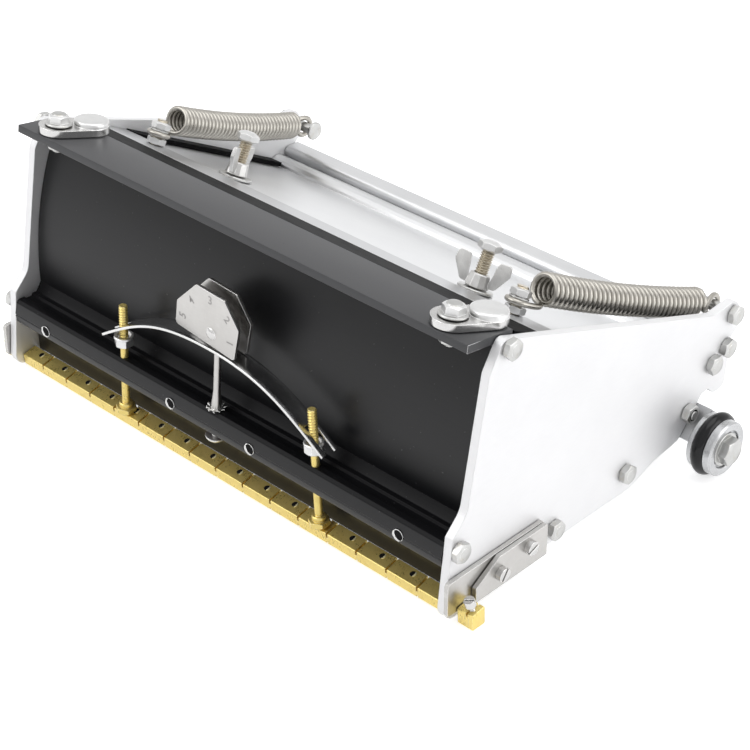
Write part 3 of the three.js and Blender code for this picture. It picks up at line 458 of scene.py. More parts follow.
@dataclass(frozen=True)
class BlackAnodised(Finish):
    """Black anodised extrusion: drawn along X, lighter at its flange and at its edges (wear, and a painted edge
    highlight), with a painted reflection of the brass as red smears on the foot and painted shade on the lower wall.
    """

    base: Triple = (0.0035, 0.0035, 0.0042)
    lifted: Triple = (0.010, 0.010, 0.0115)
    # Lighter grey for worn edges and dust, and a painted highlight along the sharp edges.
    rubbed: Triple = (0.24, 0.24, 0.245)
    bare: Triple = (0.85, 0.85, 0.86)
    # Red of a painted reflection of the brass holder in the foot.
    wax: Triple = (0.11, 0.012, 0.014)
    flange: Triple = (0.075, 0.076, 0.08)
    drawn: Triple = (60.0, 0.5, 0.5)
    grain: Triple = (0.35, 0.3, 0.3)
    cloud: Triple = (30.0, 16.0, 20.0)
    speck: Triple = (1.1, 1.1, 1.1)
    smear: Triple = (7.0, 1.6, 1.2)
    waxed: Zone = ((0, -80, -60), (0, 92, 70), (2, 18.6, 18.0), (2, 12, 14), (1, -58, -61))
    worn_corner: Zone = ((0, 94.5, 95.2), (2, 86, 87.5), (1, -53, -55.5))
    flange_zone: Zone = ((2, 84.5, 86.5),)
    # Lower wall where a less glossy copy of the shader paints shade; specular gives both copies' levels.
    sheltered: Zone = ((2, 48, 29), (2, 25.5, 25.9))
    specular: Pair = (0.3, 0.1)

    def zone(self, parts: Signal, steps: Zone) -> Signal:
        """Where a zone is.

        Args:
            parts: The place, split into its axes.
            steps: The zone's steps.

        Returns:
            1 inside it.
        """
        masks = [parts.output(axis).between(low, high) for axis, low, high in steps]
        return math.prod(masks[1:], start=masks[0])

    def paint(self, sheet: NodeSheet) -> None:
        """Lay out the nodes.

        Args:
            sheet: The material's sheet.
        """
        place = sheet.place()
        parts = sheet.node("ShaderNodeSeparateXYZ", {}, {0: place})
        drawn = sheet.noise(place, self.drawn, 3.0, 0.6)
        grain = sheet.noise(place, self.grain, 2.0, 0.6)
        cloud = sheet.noise(place, self.cloud, 3.0, 0.5)
        dust = sheet.noise(place, self.speck, 1.0).between(0.76, 0.8)
        soft, edges = sheet.rounded_edges(0.25)
        colour = sheet.mixed((cloud * 0.9 + drawn * 0.4 - 0.25).clamped(), self.base, self.lifted)
        # Edges and dust specks lighter: wear and dust, with a painted highlight along the edges.
        colour = sheet.mixed((edges * 0.7 + dust * 0.2).clamped(), colour, self.rubbed)
        # Red smears on the foot over the brass holder: a painted reflection of the brass.
        smears = sheet.noise(place, self.smear, 4.0, 0.6).between(0.5, 0.62)
        waxed = smears * self.zone(parts, self.waxed)
        colour = sheet.mixed(waxed * 0.75, colour, self.wax)
        corner = self.zone(parts, self.worn_corner) * edges
        colour = sheet.mixed(self.zone(parts, self.flange_zone) * 0.85, colour, self.flange)
        colour = sheet.mixed(corner, colour, self.bare)
        rough = (0.36 + (cloud - 0.5) * 0.12 + (grain - 0.5) * 0.1 + dust * 0.2 + waxed * 0.2).clamped()
        normal = sheet.relief(drawn * 0.5 + grain * 0.5, 0.006, soft)
        # Second, less glossy copy of the shader darkens the lower wall: painted shade.
        plain, low = ({"Specular IOR Level": level} for level in self.specular)
        inputs = {"Base Color": colour, "Metallic": corner, "Roughness": rough, "Normal": normal, **plain}
        sheet.surface(inputs, self.zone(parts, self.sheltered), low)


@dataclass(frozen=True)
class Rubber(Finish):
    """Black rubber with a fine skin, dust in patches and rubbed edges."""

    base: Triple = (0.010, 0.010, 0.011)
    dusty: Triple = (0.055, 0.054, 0.052)
    roughness: float = 0.55
    specular: float = 0.3
    skin: Triple = (0.3, 0.3, 0.3)
    patch: Triple = (9.0, 5.0, 5.0)

    def paint(self, sheet: NodeSheet) -> None:
        """Lay out the nodes.

        Args:
            sheet: The material's sheet.
        """
        place = sheet.place()
        skin = sheet.noise(place, self.skin, 3.0, 0.6)
        patches = sheet.noise(place, self.patch, 4.0, 0.6)
        soft, edges = sheet.rounded_edges(0.25)
        dust = (patches.between(0.45, 0.75) * 0.5 + edges * 0.4).clamped()
        colour = sheet.mixed(dust, self.base, self.dusty)
        rough = (self.roughness + (skin - 0.5) * 0.15 + dust * 0.12).clamped()
        normal = sheet.relief(skin, 0.01, soft)
        inputs = {"Base Color": colour, "Roughness": rough, "Normal": normal, "Specular IOR Level": self.specular}
        sheet.surface(inputs)


@dataclass(frozen=True)
class Engraving(Finish):
    """Floor of an engraved mark: dull, dirty metal."""

    dirty: Triple = (0.20, 0.19, 0.185)
    clean: Triple = (0.46, 0.45, 0.44)
    cell: Triple = (0.25, 0.25, 0.25)

    def paint(self, sheet: NodeSheet) -> None:
        """Lay out the nodes.

        Args:
            sheet: The material's sheet.
        """
        dirt = sheet.noise(sheet.place(), self.cell, 3.0, 0.6)
        colour = sheet.mixed(dirt, self.dirty, self.clean)
        rough = 0.45 + dirt * 0.3
        normal = sheet.relief(dirt, 0.01, sheet.node("ShaderNodeNewGeometry", output="Normal"))
        sheet.surface({"Base Color": colour, "Metallic": 0.8, "Roughness": rough, "Normal": normal})


@dataclass(frozen=True)
class DarkBore(Finish):
    """Painted shade standing for the dark inside of a small drilled hole."""

    dark: Triple = (0.004, 0.004, 0.004)
    pale: Triple = (0.02, 0.02, 0.02)
    cell: Triple = (0.2, 0.2, 0.2)

    def paint(self, sheet: NodeSheet) -> None:
        """Lay out the nodes.

        Args:
            sheet: The material's sheet.
        """
        rings = sheet.noise(sheet.place(), self.cell, 2.0, 0.5)
        colour = sheet.mixed(rings, self.dark, self.pale)
        sheet.surface({"Base Color": colour, "Roughness": 0.6 + rings * 0.2, "Specular IOR Level": 0.05})


class Look(Enum):
    """The finishes of this box."""

    PLATE = Metal(
        "satin_plate", "bright_aluminium", light=(0.90, 0.90, 0.905), dark=(0.82, 0.82, 0.83), metallic=0.5,
        worn=(0.93, 0.93, 0.93), roughness=0.52, spread=0.1, grain=(0.4, 3.0, 0.25), depth=0.003, cloud=22.0, edge=0.5,
    )
    LID = Metal(
        "brushed_lid", "bright_aluminium", light=(0.76, 0.765, 0.77), dark=(0.62, 0.625, 0.635),
        worn=(0.93, 0.93, 0.93), roughness=0.36, grain=(14.0, 0.22, 0.22), cloud=30.0, edge=0.35,
    )
    GREY = Metal(
        "satin_extrusion", "grey_aluminium", light=(0.62, 0.625, 0.635), dark=(0.47, 0.475, 0.485),
        worn=(0.82, 0.82, 0.83), roughness=0.38, grain=(16.0, 0.3, 0.3), cloud=18.0,
    )
    STRIP = Metal(
        "dull_strip", "grey_aluminium", light=(0.56, 0.565, 0.575), dark=(0.42, 0.425, 0.435),
        worn=(0.93, 0.93, 0.94), roughness=0.36, grain=(12.0, 0.25, 0.25), depth=0.005, cloud=16.0, edge=0.25,
    )
    BLACK = BlackAnodised("black_anodised", "black_aluminium")
    ZINC = Metal(
        "zinc_plate", "zinc_steel", light=(0.60, 0.60, 0.59), dark=(0.42, 0.42, 0.41),
        worn=(0.84, 0.84, 0.83), roughness=0.34, spread=0.2, grain=(0.35, 0.35, 0.35), depth=0.006, cloud=3.5,
        edge=0.18, stain=(0.38, 0.34, 0.26), stained=0.35,
    )
    THREAD = Metal(
        "zinc_thread", "zinc_steel", light=(0.60, 0.55, 0.45), dark=(0.30, 0.26, 0.20),
        worn=(0.92, 0.88, 0.78), roughness=0.3, spread=0.16, grain=(0.3, 0.3, 0.3), cloud=2.5,
        edge=0.08, stain=(0.42, 0.30, 0.18), stained=0.4,
    )
    WIRE = Metal(
        "drawn_wire", "spring_steel", light=(0.49, 0.47, 0.43), dark=(0.32, 0.305, 0.275),
        worn=(0.56, 0.54, 0.50), roughness=0.3, spread=0.14, grain=(0.5, 0.16, 0.5), depth=0.005, cloud=6.0,
        edge=0.1, scratch=0.1,
    )
    POLISHED = Metal(
        "polished_steel", "stainless", light=(0.64, 0.635, 0.625), dark=(0.48, 0.475, 0.47),
        worn=(0.90, 0.90, 0.89), roughness=0.2, grain=(0.4, 0.4, 0.4), depth=0.003, cloud=5.0, scratch=0.35,
    )
    CAST = Metal(
        "tumbled_casting", "stainless", light=(0.66, 0.655, 0.645), dark=(0.48, 0.475, 0.465), metallic=0.85,
        worn=(0.97, 0.97, 0.96), roughness=0.34, spread=0.16, grain=(0.35, 0.35, 0.35), depth=0.008, cloud=3.0,
    )
    CAP = Metal(
        "satin_cap", "stainless", light=(0.80, 0.80, 0.795), dark=(0.62, 0.62, 0.615), metallic=0.85,
        worn=(0.97, 0.97, 0.97), roughness=0.34, spread=0.14, grain=(0.3, 0.3, 0.3), cloud=4.0,
    )
    SHEET = Metal(
        "satin_sheet", "stainless", light=(0.55, 0.54, 0.525), dark=(0.45, 0.44, 0.425),
        worn=(0.86, 0.86, 0.85), roughness=0.32, grain=(2.4, 2.4, 0.3), depth=0.003, cloud=7.0,
        edge=0.2, scratch=0.3,
    )
    LEAF = Metal(
        "spring_leaf", "stainless", light=(0.52, 0.52, 0.52), dark=(0.38, 0.38, 0.385),
        worn=(0.98, 0.98, 0.98), roughness=0.22, spread=0.1, grain=(4.0, 0.3, 4.0), depth=0.003, cloud=6.0,
        edge=0.4, scratch=0.2,
    )
    BLADE = Metal(
        "ground_blade", "blade_steel", light=(0.46, 0.47, 0.49), dark=(0.32, 0.33, 0.34),
        worn=(0.8, 0.8, 0.82), roughness=0.3, spread=0.1, grain=(8.0, 0.2, 0.2), depth=0.003, cloud=9.0, edge=0.15,
    )
    BRASS = Metal(
        "machined_brass", "brass", light=(0.94, 0.77, 0.28), dark=(0.76, 0.58, 0.165), metallic=0.62,
        worn=(0.99, 0.91, 0.56), roughness=0.3, spread=0.16, grain=(0.3, 0.8, 1.6), depth=0.006, cloud=5.0,
        edge=0.25, stain=(0.44, 0.32, 0.09), stained=0.2,
    )
    # Pale brass used only for the painted highlight in the holder's dimples.
    BRASS_CUT = Metal(
        "painted_brass_highlight", "brass", light=(0.99, 0.94, 0.62), dark=(0.93, 0.84, 0.46), metallic=0.35,
        worn=(1.0, 0.97, 0.78), cloud=3.0, edge=0.1, scratch=0.1,
    )
    WHEEL = Metal(
        "turned_wheel", "bright_aluminium", light=(0.60, 0.605, 0.61), dark=(0.40, 0.405, 0.415),
        worn=(0.90, 0.90, 0.90), roughness=0.28, spread=0.14, grain=(0.25, 2.0, 2.0), depth=0.005, cloud=6.0,
        edge=0.25,
    )
    SEAL = Rubber("seal_skin", "seal_rubber", base=(0.002, 0.002, 0.0025), dusty=(0.007, 0.007, 0.0075), specular=0.06)
    RING = Rubber("ring_skin", "ring_rubber", roughness=0.16, base=(0.003, 0.003, 0.004), dusty=(0.012, 0.012, 0.014))
    DIGIT = Engraving("digit_floor", "stainless")
    # Painted shade for the insides of drilled holes.
    BORE = DarkBore("painted_hole_shade", "black_aluminium")


def dress(look: Look, *nodes: str) -> None:
    """Give nodes of the frame a finish.

    Args:
        look: The finish.
        nodes: Their names.
    """
    for name in nodes:
        item = frame["nodes"][name]
        if not item.material_slots:
            item.data.materials.append(None)
        for place in item.material_slots:
            place.material = look.value.material()
        LOG.info("dressed %s in %s", name, look.value.name)


def both(name: str) -> tuple[str, str]:
    """A name with each side's ending."""
    return f"{name}_left", f"{name}_right"


def rounded(corners: Sequence[Triple], steps: int = 5) -> list[Vector]:
    """Outline with rounded corners.

    Args:
        corners: Each corner's two places and radius.
        steps: Steps round a corner.

    Returns:
        Its points in the plane.
    """
    points: list[Vector] = []
    count = len(corners)
    for i, (a, b, radius) in enumerate(corners):
        here = Vector((a, b))
        if not radius:
            points.append(here)
            continue
        back = Vector(corners[i - 1][:2]) - here
        onward = Vector(corners[(i + 1) % count][:2]) - here
        opening = back.angle(onward) / 2
        reach = min(radius / math.tan(opening), 0.48 * min(back.length, onward.length))
        bend = reach * math.tan(opening)
        centre = here + (back.normalized() + onward.normalized()).normalized() * (bend / math.sin(opening))
        first = here + back.normalized() * reach - centre
        last = here + onward.normalized() * reach - centre
        start = math.atan2(first.y, first.x)
        sweep = math.remainder(math.atan2(last.y, last.x) - start, math.tau)
        for k in range(steps + 1):
            turn = start + sweep * k / steps
            points.append(centre + bend * Vector((math.cos(turn), math.sin(turn))))
    return points


def polar(radius: float, turn: float, height: float) -> Vector:
    """Point at a radius, an angle about Z and a height."""
    return Vector((radius * math.cos(turn), radius * math.sin(turn), height))


def bezier(points: Sequence[Vector], t: float) -> Vector:
    """Point at t, from 0 to 1, of the curve with these four control points."""
    start, leaving, arriving, end = points
    return start * (1 - t) ** 3 + leaving * 3 * t * (1 - t) ** 2 + arriving * 3 * t * t * (1 - t) + end * t ** 3


def raised(profile: Sequence[Pair], height: float) -> list[Pair]:
    """Profile moved up by a height."""
    return [(radius, height + above) for radius, above in profile]


def turned(profile: Sequence[Pair], steps: int = 48, closed: bool = False) -> Mesh:
    """A piece turned about Z.

    Args:
        profile: Radius and height along its outline; a radius of 0 closes it at the axis.
        steps: Steps round it.
        closed: True where the outline comes back to its start, as in a ring.

    Returns:
        Its mesh.
    """
    vertices: list[Vector] = []
    rings: list[list[int]] = []
    for radius, height in profile:
        count = 1 if radius <= 0 else steps
        rings.append(list(range(len(vertices), len(vertices) + count)))
        for k in range(count):
            turn = math.tau * k / steps
            vertices.append(polar(radius, turn, height))
    faces: Faces = []
    pairs = list(zip(rings, rings[1:])) + ([(rings[-1], rings[0])] if closed else [])
    for low, high in pairs:
        for k in range(steps):
            n = (k + 1) % steps
            if len(low) == 1:
                faces.append((low[0], high[n], high[k]))
            elif len(high) == 1:
                faces.append((low[k], low[n], high[0]))
            else:
                faces.append((low[k], low[n], high[n], high[k]))
    return vertices, faces


def pill(radius: float, low: float, high: float, soft: float = 0.15) -> list[Pair]:
    """Profile of a round bar with softened ends."""
    inner = radius - soft
    return [(0, low), (inner, low), (radius, low + soft), (radius, high - soft), (inner, high), (0, high)]


def drilled(radius: float, steps: int) -> Mesh:
    """Dark disc of painted shade that stands for a drilled hole, a hair proud of its face."""
    return turned([(0, 0.02), (radius, 0.03), (radius, -0.3), (0, -0.3)], steps)


def hexagonal(
    flats: float, low: float, high: float, top: bool = True, base: bool = False, share: float = 0.95,
) -> Mesh:
    """Hexagon with a corner on +X, chamfered as a turned bolt head is.

    Args:
        flats: Width across flats.
        low: Height where it starts.
        high: Height where it ends.
        top: True for a chamfer at the top.
        base: True for a chamfer at the bottom.
        share: Size of the flat end beside the width across flats; a small one gives a rounder head.

    Returns:
        Its mesh.
    """
    steps, slope = 72, math.tan(math.radians(30))
    inner = flats / 2 * share
    vertices: list[Vector] = [Vector((0, 0, low)), Vector((0, 0, high))]
    for k in range(steps):
        turn = math.tau * k / steps
        across = flats / 2 / math.cos(math.radians(360 * k / steps % 60 - 30))
        drop = (across - inner) * slope
        way = Vector((math.cos(turn), math.sin(turn), 0))
        for radius, height in (
            (inner, low), (across, low + (drop if base else 0)), (across, high - (drop if top else 0)), (inner, high),
        ):
            vertices.append(way * radius + Vector((0, 0, height)))
    faces: Faces = []
    for k in range(steps):
        here, there = 2 + 4 * k, 2 + 4 * ((k + 1) % steps)
        faces.append((0, there, here))
        faces.append((1, here + 3, there + 3))
        faces.extend((here + j, there + j, there + j + 1, here + j + 1) for j in range(3))
    return vertices, faces


def threaded(radius: float, low: float, high: float, pitch: float, depth: float = 0.0) -> Mesh:
    """Round bar with a real screw thread, its end chamfered.

    Args:
        radius: Outer radius of the thread.
        low: Height where it starts.
        high: Height where it ends.
        pitch: Rise of one turn.
        depth: Depth of the thread, or 0 for the usual share of the pitch.

    Returns:
        Its mesh.
    """
    steps, rows_per_turn = 24, 8
    deep = depth or 0.54 * pitch
    rows = max(2, round((high - low) / pitch * rows_per_turn))
    vertices: list[Vector] = []
    for i in range(rows + 1):
        height = low + (high - low) * i / rows
        limit = radius - max(0.0, 0.6 * deep - min(height - low, high - height))
        for k in range(steps):
            phase = (height / pitch - k / steps) % 1
            ridge = min(1.0, max(0.0, abs(2 * phase - 1) * 1.35 - 0.15))
            reach = min(limit, radius - deep * (1 - ridge))
            turn = math.tau * k / steps
            vertices.append(polar(reach, turn, height))
    faces: Faces = [tuple(reversed(range(steps))), tuple(range(rows * steps, (rows + 1) * steps))]
    for i in range(rows):
        for k in range(steps):
            n = (k + 1) % steps
            faces.append((i * steps + k, i * steps + n, (i + 1) * steps + n, (i + 1) * steps + k))
    return vertices, faces


def slab(outline: Sequence[Vector], low: float, high: float, soft: float = 0.2, steps: int = 2) -> Mesh:
    """Flat piece with softened edges.

    Args:
        outline: Its outline in the plane.
        low: Height where it starts.
        high: Height where it ends.
        soft: Radius of its edges.
        steps: Steps in the rounding.

    Returns:
        Its mesh.
    """
    form = bmesh.new()
    loops = [[form.verts.new((p.x, p.y, height)) for p in outline] for height in (low, high)]
    form.faces.new(reversed(loops[0]))
    form.faces.new(loops[1])
    count = len(outline)
    for k in range(count):
        n = (k + 1) % count
        form.faces.new((loops[0][k], loops[0][n], loops[1][n], loops[1][k]))
    rims = [edge for edge in form.edges if abs(edge.verts[0].co.z - edge.verts[1].co.z) < 1e-6]
    if soft:
        bmesh.ops.bevel(form, geom=rims, offset=soft, segments=steps, profile=0.5, affect="EDGES", clamp_overlap=True)
    form.verts.index_update()
    vertices = [vertex.co.copy() for vertex in form.verts]
    faces = [tuple(vertex.index for vertex in face.verts) for face in form.faces]
    form.free()
    return vertices, faces


def swept(points: Sequence[Vector], radii: Sequence[float], sides: int = 12) -> Mesh:
    """Round wire along a list of points.

    Args:
        points: Its middle line.
        radii: Its radius at each point.
        sides: Sides of its section.

    Returns:
        Its mesh.
    """
    vertices: list[Vector] = []
    faces: Faces = []
    ring = Vector((0, 0, 1))
    for i, (point, radius) in enumerate(zip(points, radii)):
        way = (points[min(i + 1, len(points) - 1)] - points[max(i - 1, 0)]).normalized()
        if i == 0 and abs(way.z) > 0.9:
            ring = Vector((1, 0, 0))
        ring = (ring - way * ring.dot(way)).normalized()
        other = way.cross(ring)
        for k in range(sides):
            turn = math.tau * k / sides
            vertices.append(point + radius * (ring * math.cos(turn) + other * math.sin(turn)))
            if i:
                here, n = i * sides, (k + 1) % sides
                faces.append((here - sides + k, here - sides + n, here + n, here + k))
    faces.append(tuple(reversed(range(sides))))
    faces.append(tuple(range((len(points) - 1) * sides, len(points) * sides)))
    return vertices, faces


def belt(sections: Sequence[Sequence[Vector]], closed: bool = True) -> Mesh:
    """Body through a row of four-cornered sections.

    Args:
        sections: The corners of each section.
        closed: True where the row comes back to its start.

    Returns:
        Its mesh.
    """
    count = len(sections)
    vertices = [corner for section in sections for corner in section]
    faces: Faces = []
    for k in range(count if closed else count - 1):
        here, there = 4 * k, 4 * ((k + 1) % count)
        faces.extend((here + j, there + j, there + (j + 1) % 4, here + (j + 1) % 4) for j in range(4))
    if not closed:
        faces += [(3, 2, 1, 0), tuple(4 * count - 4 + j for j in range(4))]
    return vertices, faces


def shade(mesh: bpy.types.Mesh, crease: float) -> None:
    """Smooth a mesh, but not at edges sharper than the crease, in degrees."""
    mesh.polygons.foreach_set("use_smooth", [True] * len(mesh.polygons))
    mesh.set_sharp_from_angle(angle=math.radians(crease))


def linked(name: str, data: bpy.types.ID) -> bpy.types.Object:
    """New object in the scene.

    Args:
        name: Its name.
        data: Its mesh, curve, lamp or camera.

    Returns:
        The object.
    """
    made = bpy.data.objects.new(name, data)
    bpy.context.scene.collection.objects.link(made)
    return made


class Piece:
    """One piece of the scene, gathered from bodies in its own frame."""

    def __init__(self, name: str, look: Look, place: Optional[Matrix] = None) -> None:
        """Start an empty piece.

        Args:
            name: Its name.
            look: Its finish.
            place: Its own frame, in millimetres; the row frame if left out.
        """
        self.name = name
        self.looks = [look]
        self.place = place or Matrix()
        self.vertices: list[Vector] = []
        self.faces: Faces = []
        self.marks: list[int] = []

    def add(self, body: Mesh, where: Optional[Matrix] = None, look: Optional[Look] = None) -> "Piece":
        """Add a body.

        Args:
            body: Its mesh.
            where: Its place in the piece's frame.
            look: Its finish, where it differs.

        Returns:
            The piece itself.
        """
        if look and look not in self.looks:
            self.looks.append(look)
        mark = self.looks.index(look) if look else 0
        start = len(self.vertices)
        spot = where or Matrix()
        self.vertices.extend(spot @ vertex for vertex in body[0])
        self.faces.extend(tuple(start + index for index in face) for face in body[1])
        self.marks.extend([mark] * len(body[1]))
        return self

    def build(
        self, body: Optional[str], stands_for: Iterable[str] = (), crease: float = 32.0,
    ) -> bpy.types.Object:
        """Make the object.

        Args:
            body: The body of the frame that it rides on, or None for none.
            stands_for: The nodes that it replaces.
            crease: Edges sharper than this stay crisp, in degrees.

        Returns:
            The object.
        """
        mesh = bpy.data.meshes.new(self.name)
        mesh.from_pydata([(self.place @ vertex) * MM for vertex in self.vertices], [], self.faces)
        for look in self.looks:
            mesh.materials.append(look.value.material())
        mesh.polygons.foreach_set("material_index", self.marks)
        form = bmesh.new()
        form.from_mesh(mesh)
        bmesh.ops.recalc_face_normals(form, faces=form.faces)
        form.to_mesh(mesh)
        form.free()
        shade(mesh, crease)
        made = linked(self.name, mesh)
        if body:
            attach(made, body)
        if stands_for:
            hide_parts(*stands_for)
        LOG.info("made %s: %d faces", self.name, len(mesh.polygons))
        return made


@dataclass
class SidePlates:
    """The two side plates and the hexagon screws that hold the box together."""

    flats: float = 6.1
    head: float = 2.3
    shank: float = 1.7
    length: float = 11.0
    screws: tuple[str, ...] = ("top_screw", "foot_screw", "floor_front_screw", "floor_rear_screw", "member_screw")
    thread: Pair = (0.8, 0.3)
    corners_from: float = 0.4
    face: Triple = (0.49, 0.25, 0.08)
    button: tuple[Pair, ...] = ((0.3, 0.1), (0.24, 0.2))
    button_top: float = 0.25
    anchor_shank: float = 1.9
    collar: Pair = (3.4, 1.2)
    stud_flats: float = 5.9
    stud_head: float = 2.8
    stud_shank: float = 1.6
    stud_tail: float = 0.35
    stud_bore: float = 2.05
    stud_inside: float = 10.0
    stud_thread: Pair = (0.7, 0.25)
    rod: Pair = (2.9, 99.7)

    def build(self) -> None:
        """Dress the plates and build their screws."""
        dress(Look.PLATE, *both("side_plate"))
        for name, side in SIDES:
            for screw in self.screws:
                self.screw(f"{screw}_{name}", side)
            self.anchor(f"spring_anchor_{name}", side)
            self.stud(f"axle_stud_{name}", side)
        self.hinge_rod()

    def frame_of(self, node: str, side: int) -> Matrix:
        """Frame of a head on a side plate.

        Args:
            node: The node of the screw.
            side: -1 on the left, 1 on the right.

        Returns:
            Its frame, +Z outwards.
        """
        middle = node_middle(node)
        origin = Vector((side * (PLATE_FACE + SEAT), middle.y, middle.z))
        axis = Vector((side, 0, 0))
        return seated(origin, axis, corner_direction(node, origin, axis, self.corners_from))

    def head_on(self, piece: Piece, flats: float, head: float, where: Optional[Matrix] = None) -> None:
        """Add a hexagon head with the round face under it and a raised middle.

        Args:
            piece: Where it goes.
            flats: Its width across flats.
            head: Its height.
            where: Its place in the piece's frame.
        """
        share, deep, soft = self.face
        piece.add(turned(pill(flats * share, -deep, deep, soft)), where)
        piece.add(hexagonal(flats, 0.15, head), where)
        low = head - 0.05
        slopes = [(flats * part, low + rise) for part, rise in self.button]
        piece.add(turned([(0, low), (slopes[0][0], low), *slopes, (0, low + self.button_top)], 36), where)

    def screw(self, node: str, side: int) -> None:
        """Build one plate screw.

        Args:
            node: The node of the screw.
            side: -1 on the left, 1 on the right.
        """
        piece = Piece(f"bolt.{node}", Look.ZINC, self.frame_of(node, side))
        self.head_on(piece, self.flats, self.head)
        piece.add(threaded(self.shank, -self.length, 0, *self.thread))
        piece.build("frame", (node,))

    def anchor(self, node: str, side: int) -> None:
        """Build the bolt that holds a return spring's rear hook.

        Args:
            node: The node of the screw.
            side: -1 on the left, 1 on the right.
        """
        piece = Piece(f"bolt.{node}", Look.ZINC, self.frame_of(node, side))
        self.head_on(piece, self.flats, self.head)
        reach = PLATE_THICK + ANCHOR_INSIDE
        radius, thick = self.collar
        piece.add(turned(pill(self.anchor_shank, -reach, 0)))
        piece.add(turned(pill(radius, -reach - thick, -reach + 0.1, 0.3)))
        piece.build("frame", (node,))

    def stud(self, node: str, side: int) -> None:
        """Build the stud and nut that hold the axle bar.

        Args:
            node: The node of the screw.
            side: -1 on the left, 1 on the right.
        """
        piece = Piece(f"bolt.{node}", Look.ZINC, self.frame_of(node, side))
        top = self.stud_head
        piece.add(hexagonal(self.stud_flats, 0, top, base=True))
        # Dark ring of painted shade where the nut's bore meets the shank.
        bore = [(0, -0.1), (self.stud_bore, -0.1), (self.stud_bore, 0.02), (0, 0.02)]
        piece.add(turned(raised(bore, top), 36), look=Look.BORE)
        piece.add(threaded(self.stud_shank, -self.stud_inside, top + self.stud_tail, *self.stud_thread))
        piece.build("frame", (node,))

    def hinge_rod(self) -> None:
        """Build the long hinge rod with its two heads."""
        low, high = node_box("hinge_rod")
        piece = Piece("rod.hinge", Look.ZINC)
        rod = seated(HINGE, AXIS_X, AXIS_Z)
        radius, reach = self.rod
        piece.add(turned(pill(radius, -reach, reach, 0.3)), rod)
        piece.add(turned(pill(self.shank, low.x + 1, high.x - 1)), rod)
        for _, side in SIDES:
            origin = HINGE + Vector((side * (PLATE_FACE + SEAT), 0, 0))
            way = AXIS_X * side
            toward = corner_direction("hinge_rod", origin, way, self.corners_from)
            self.head_on(piece, self.flats, self.head, seated(origin, way, toward))
        piece.build("frame", ("hinge_rod",))


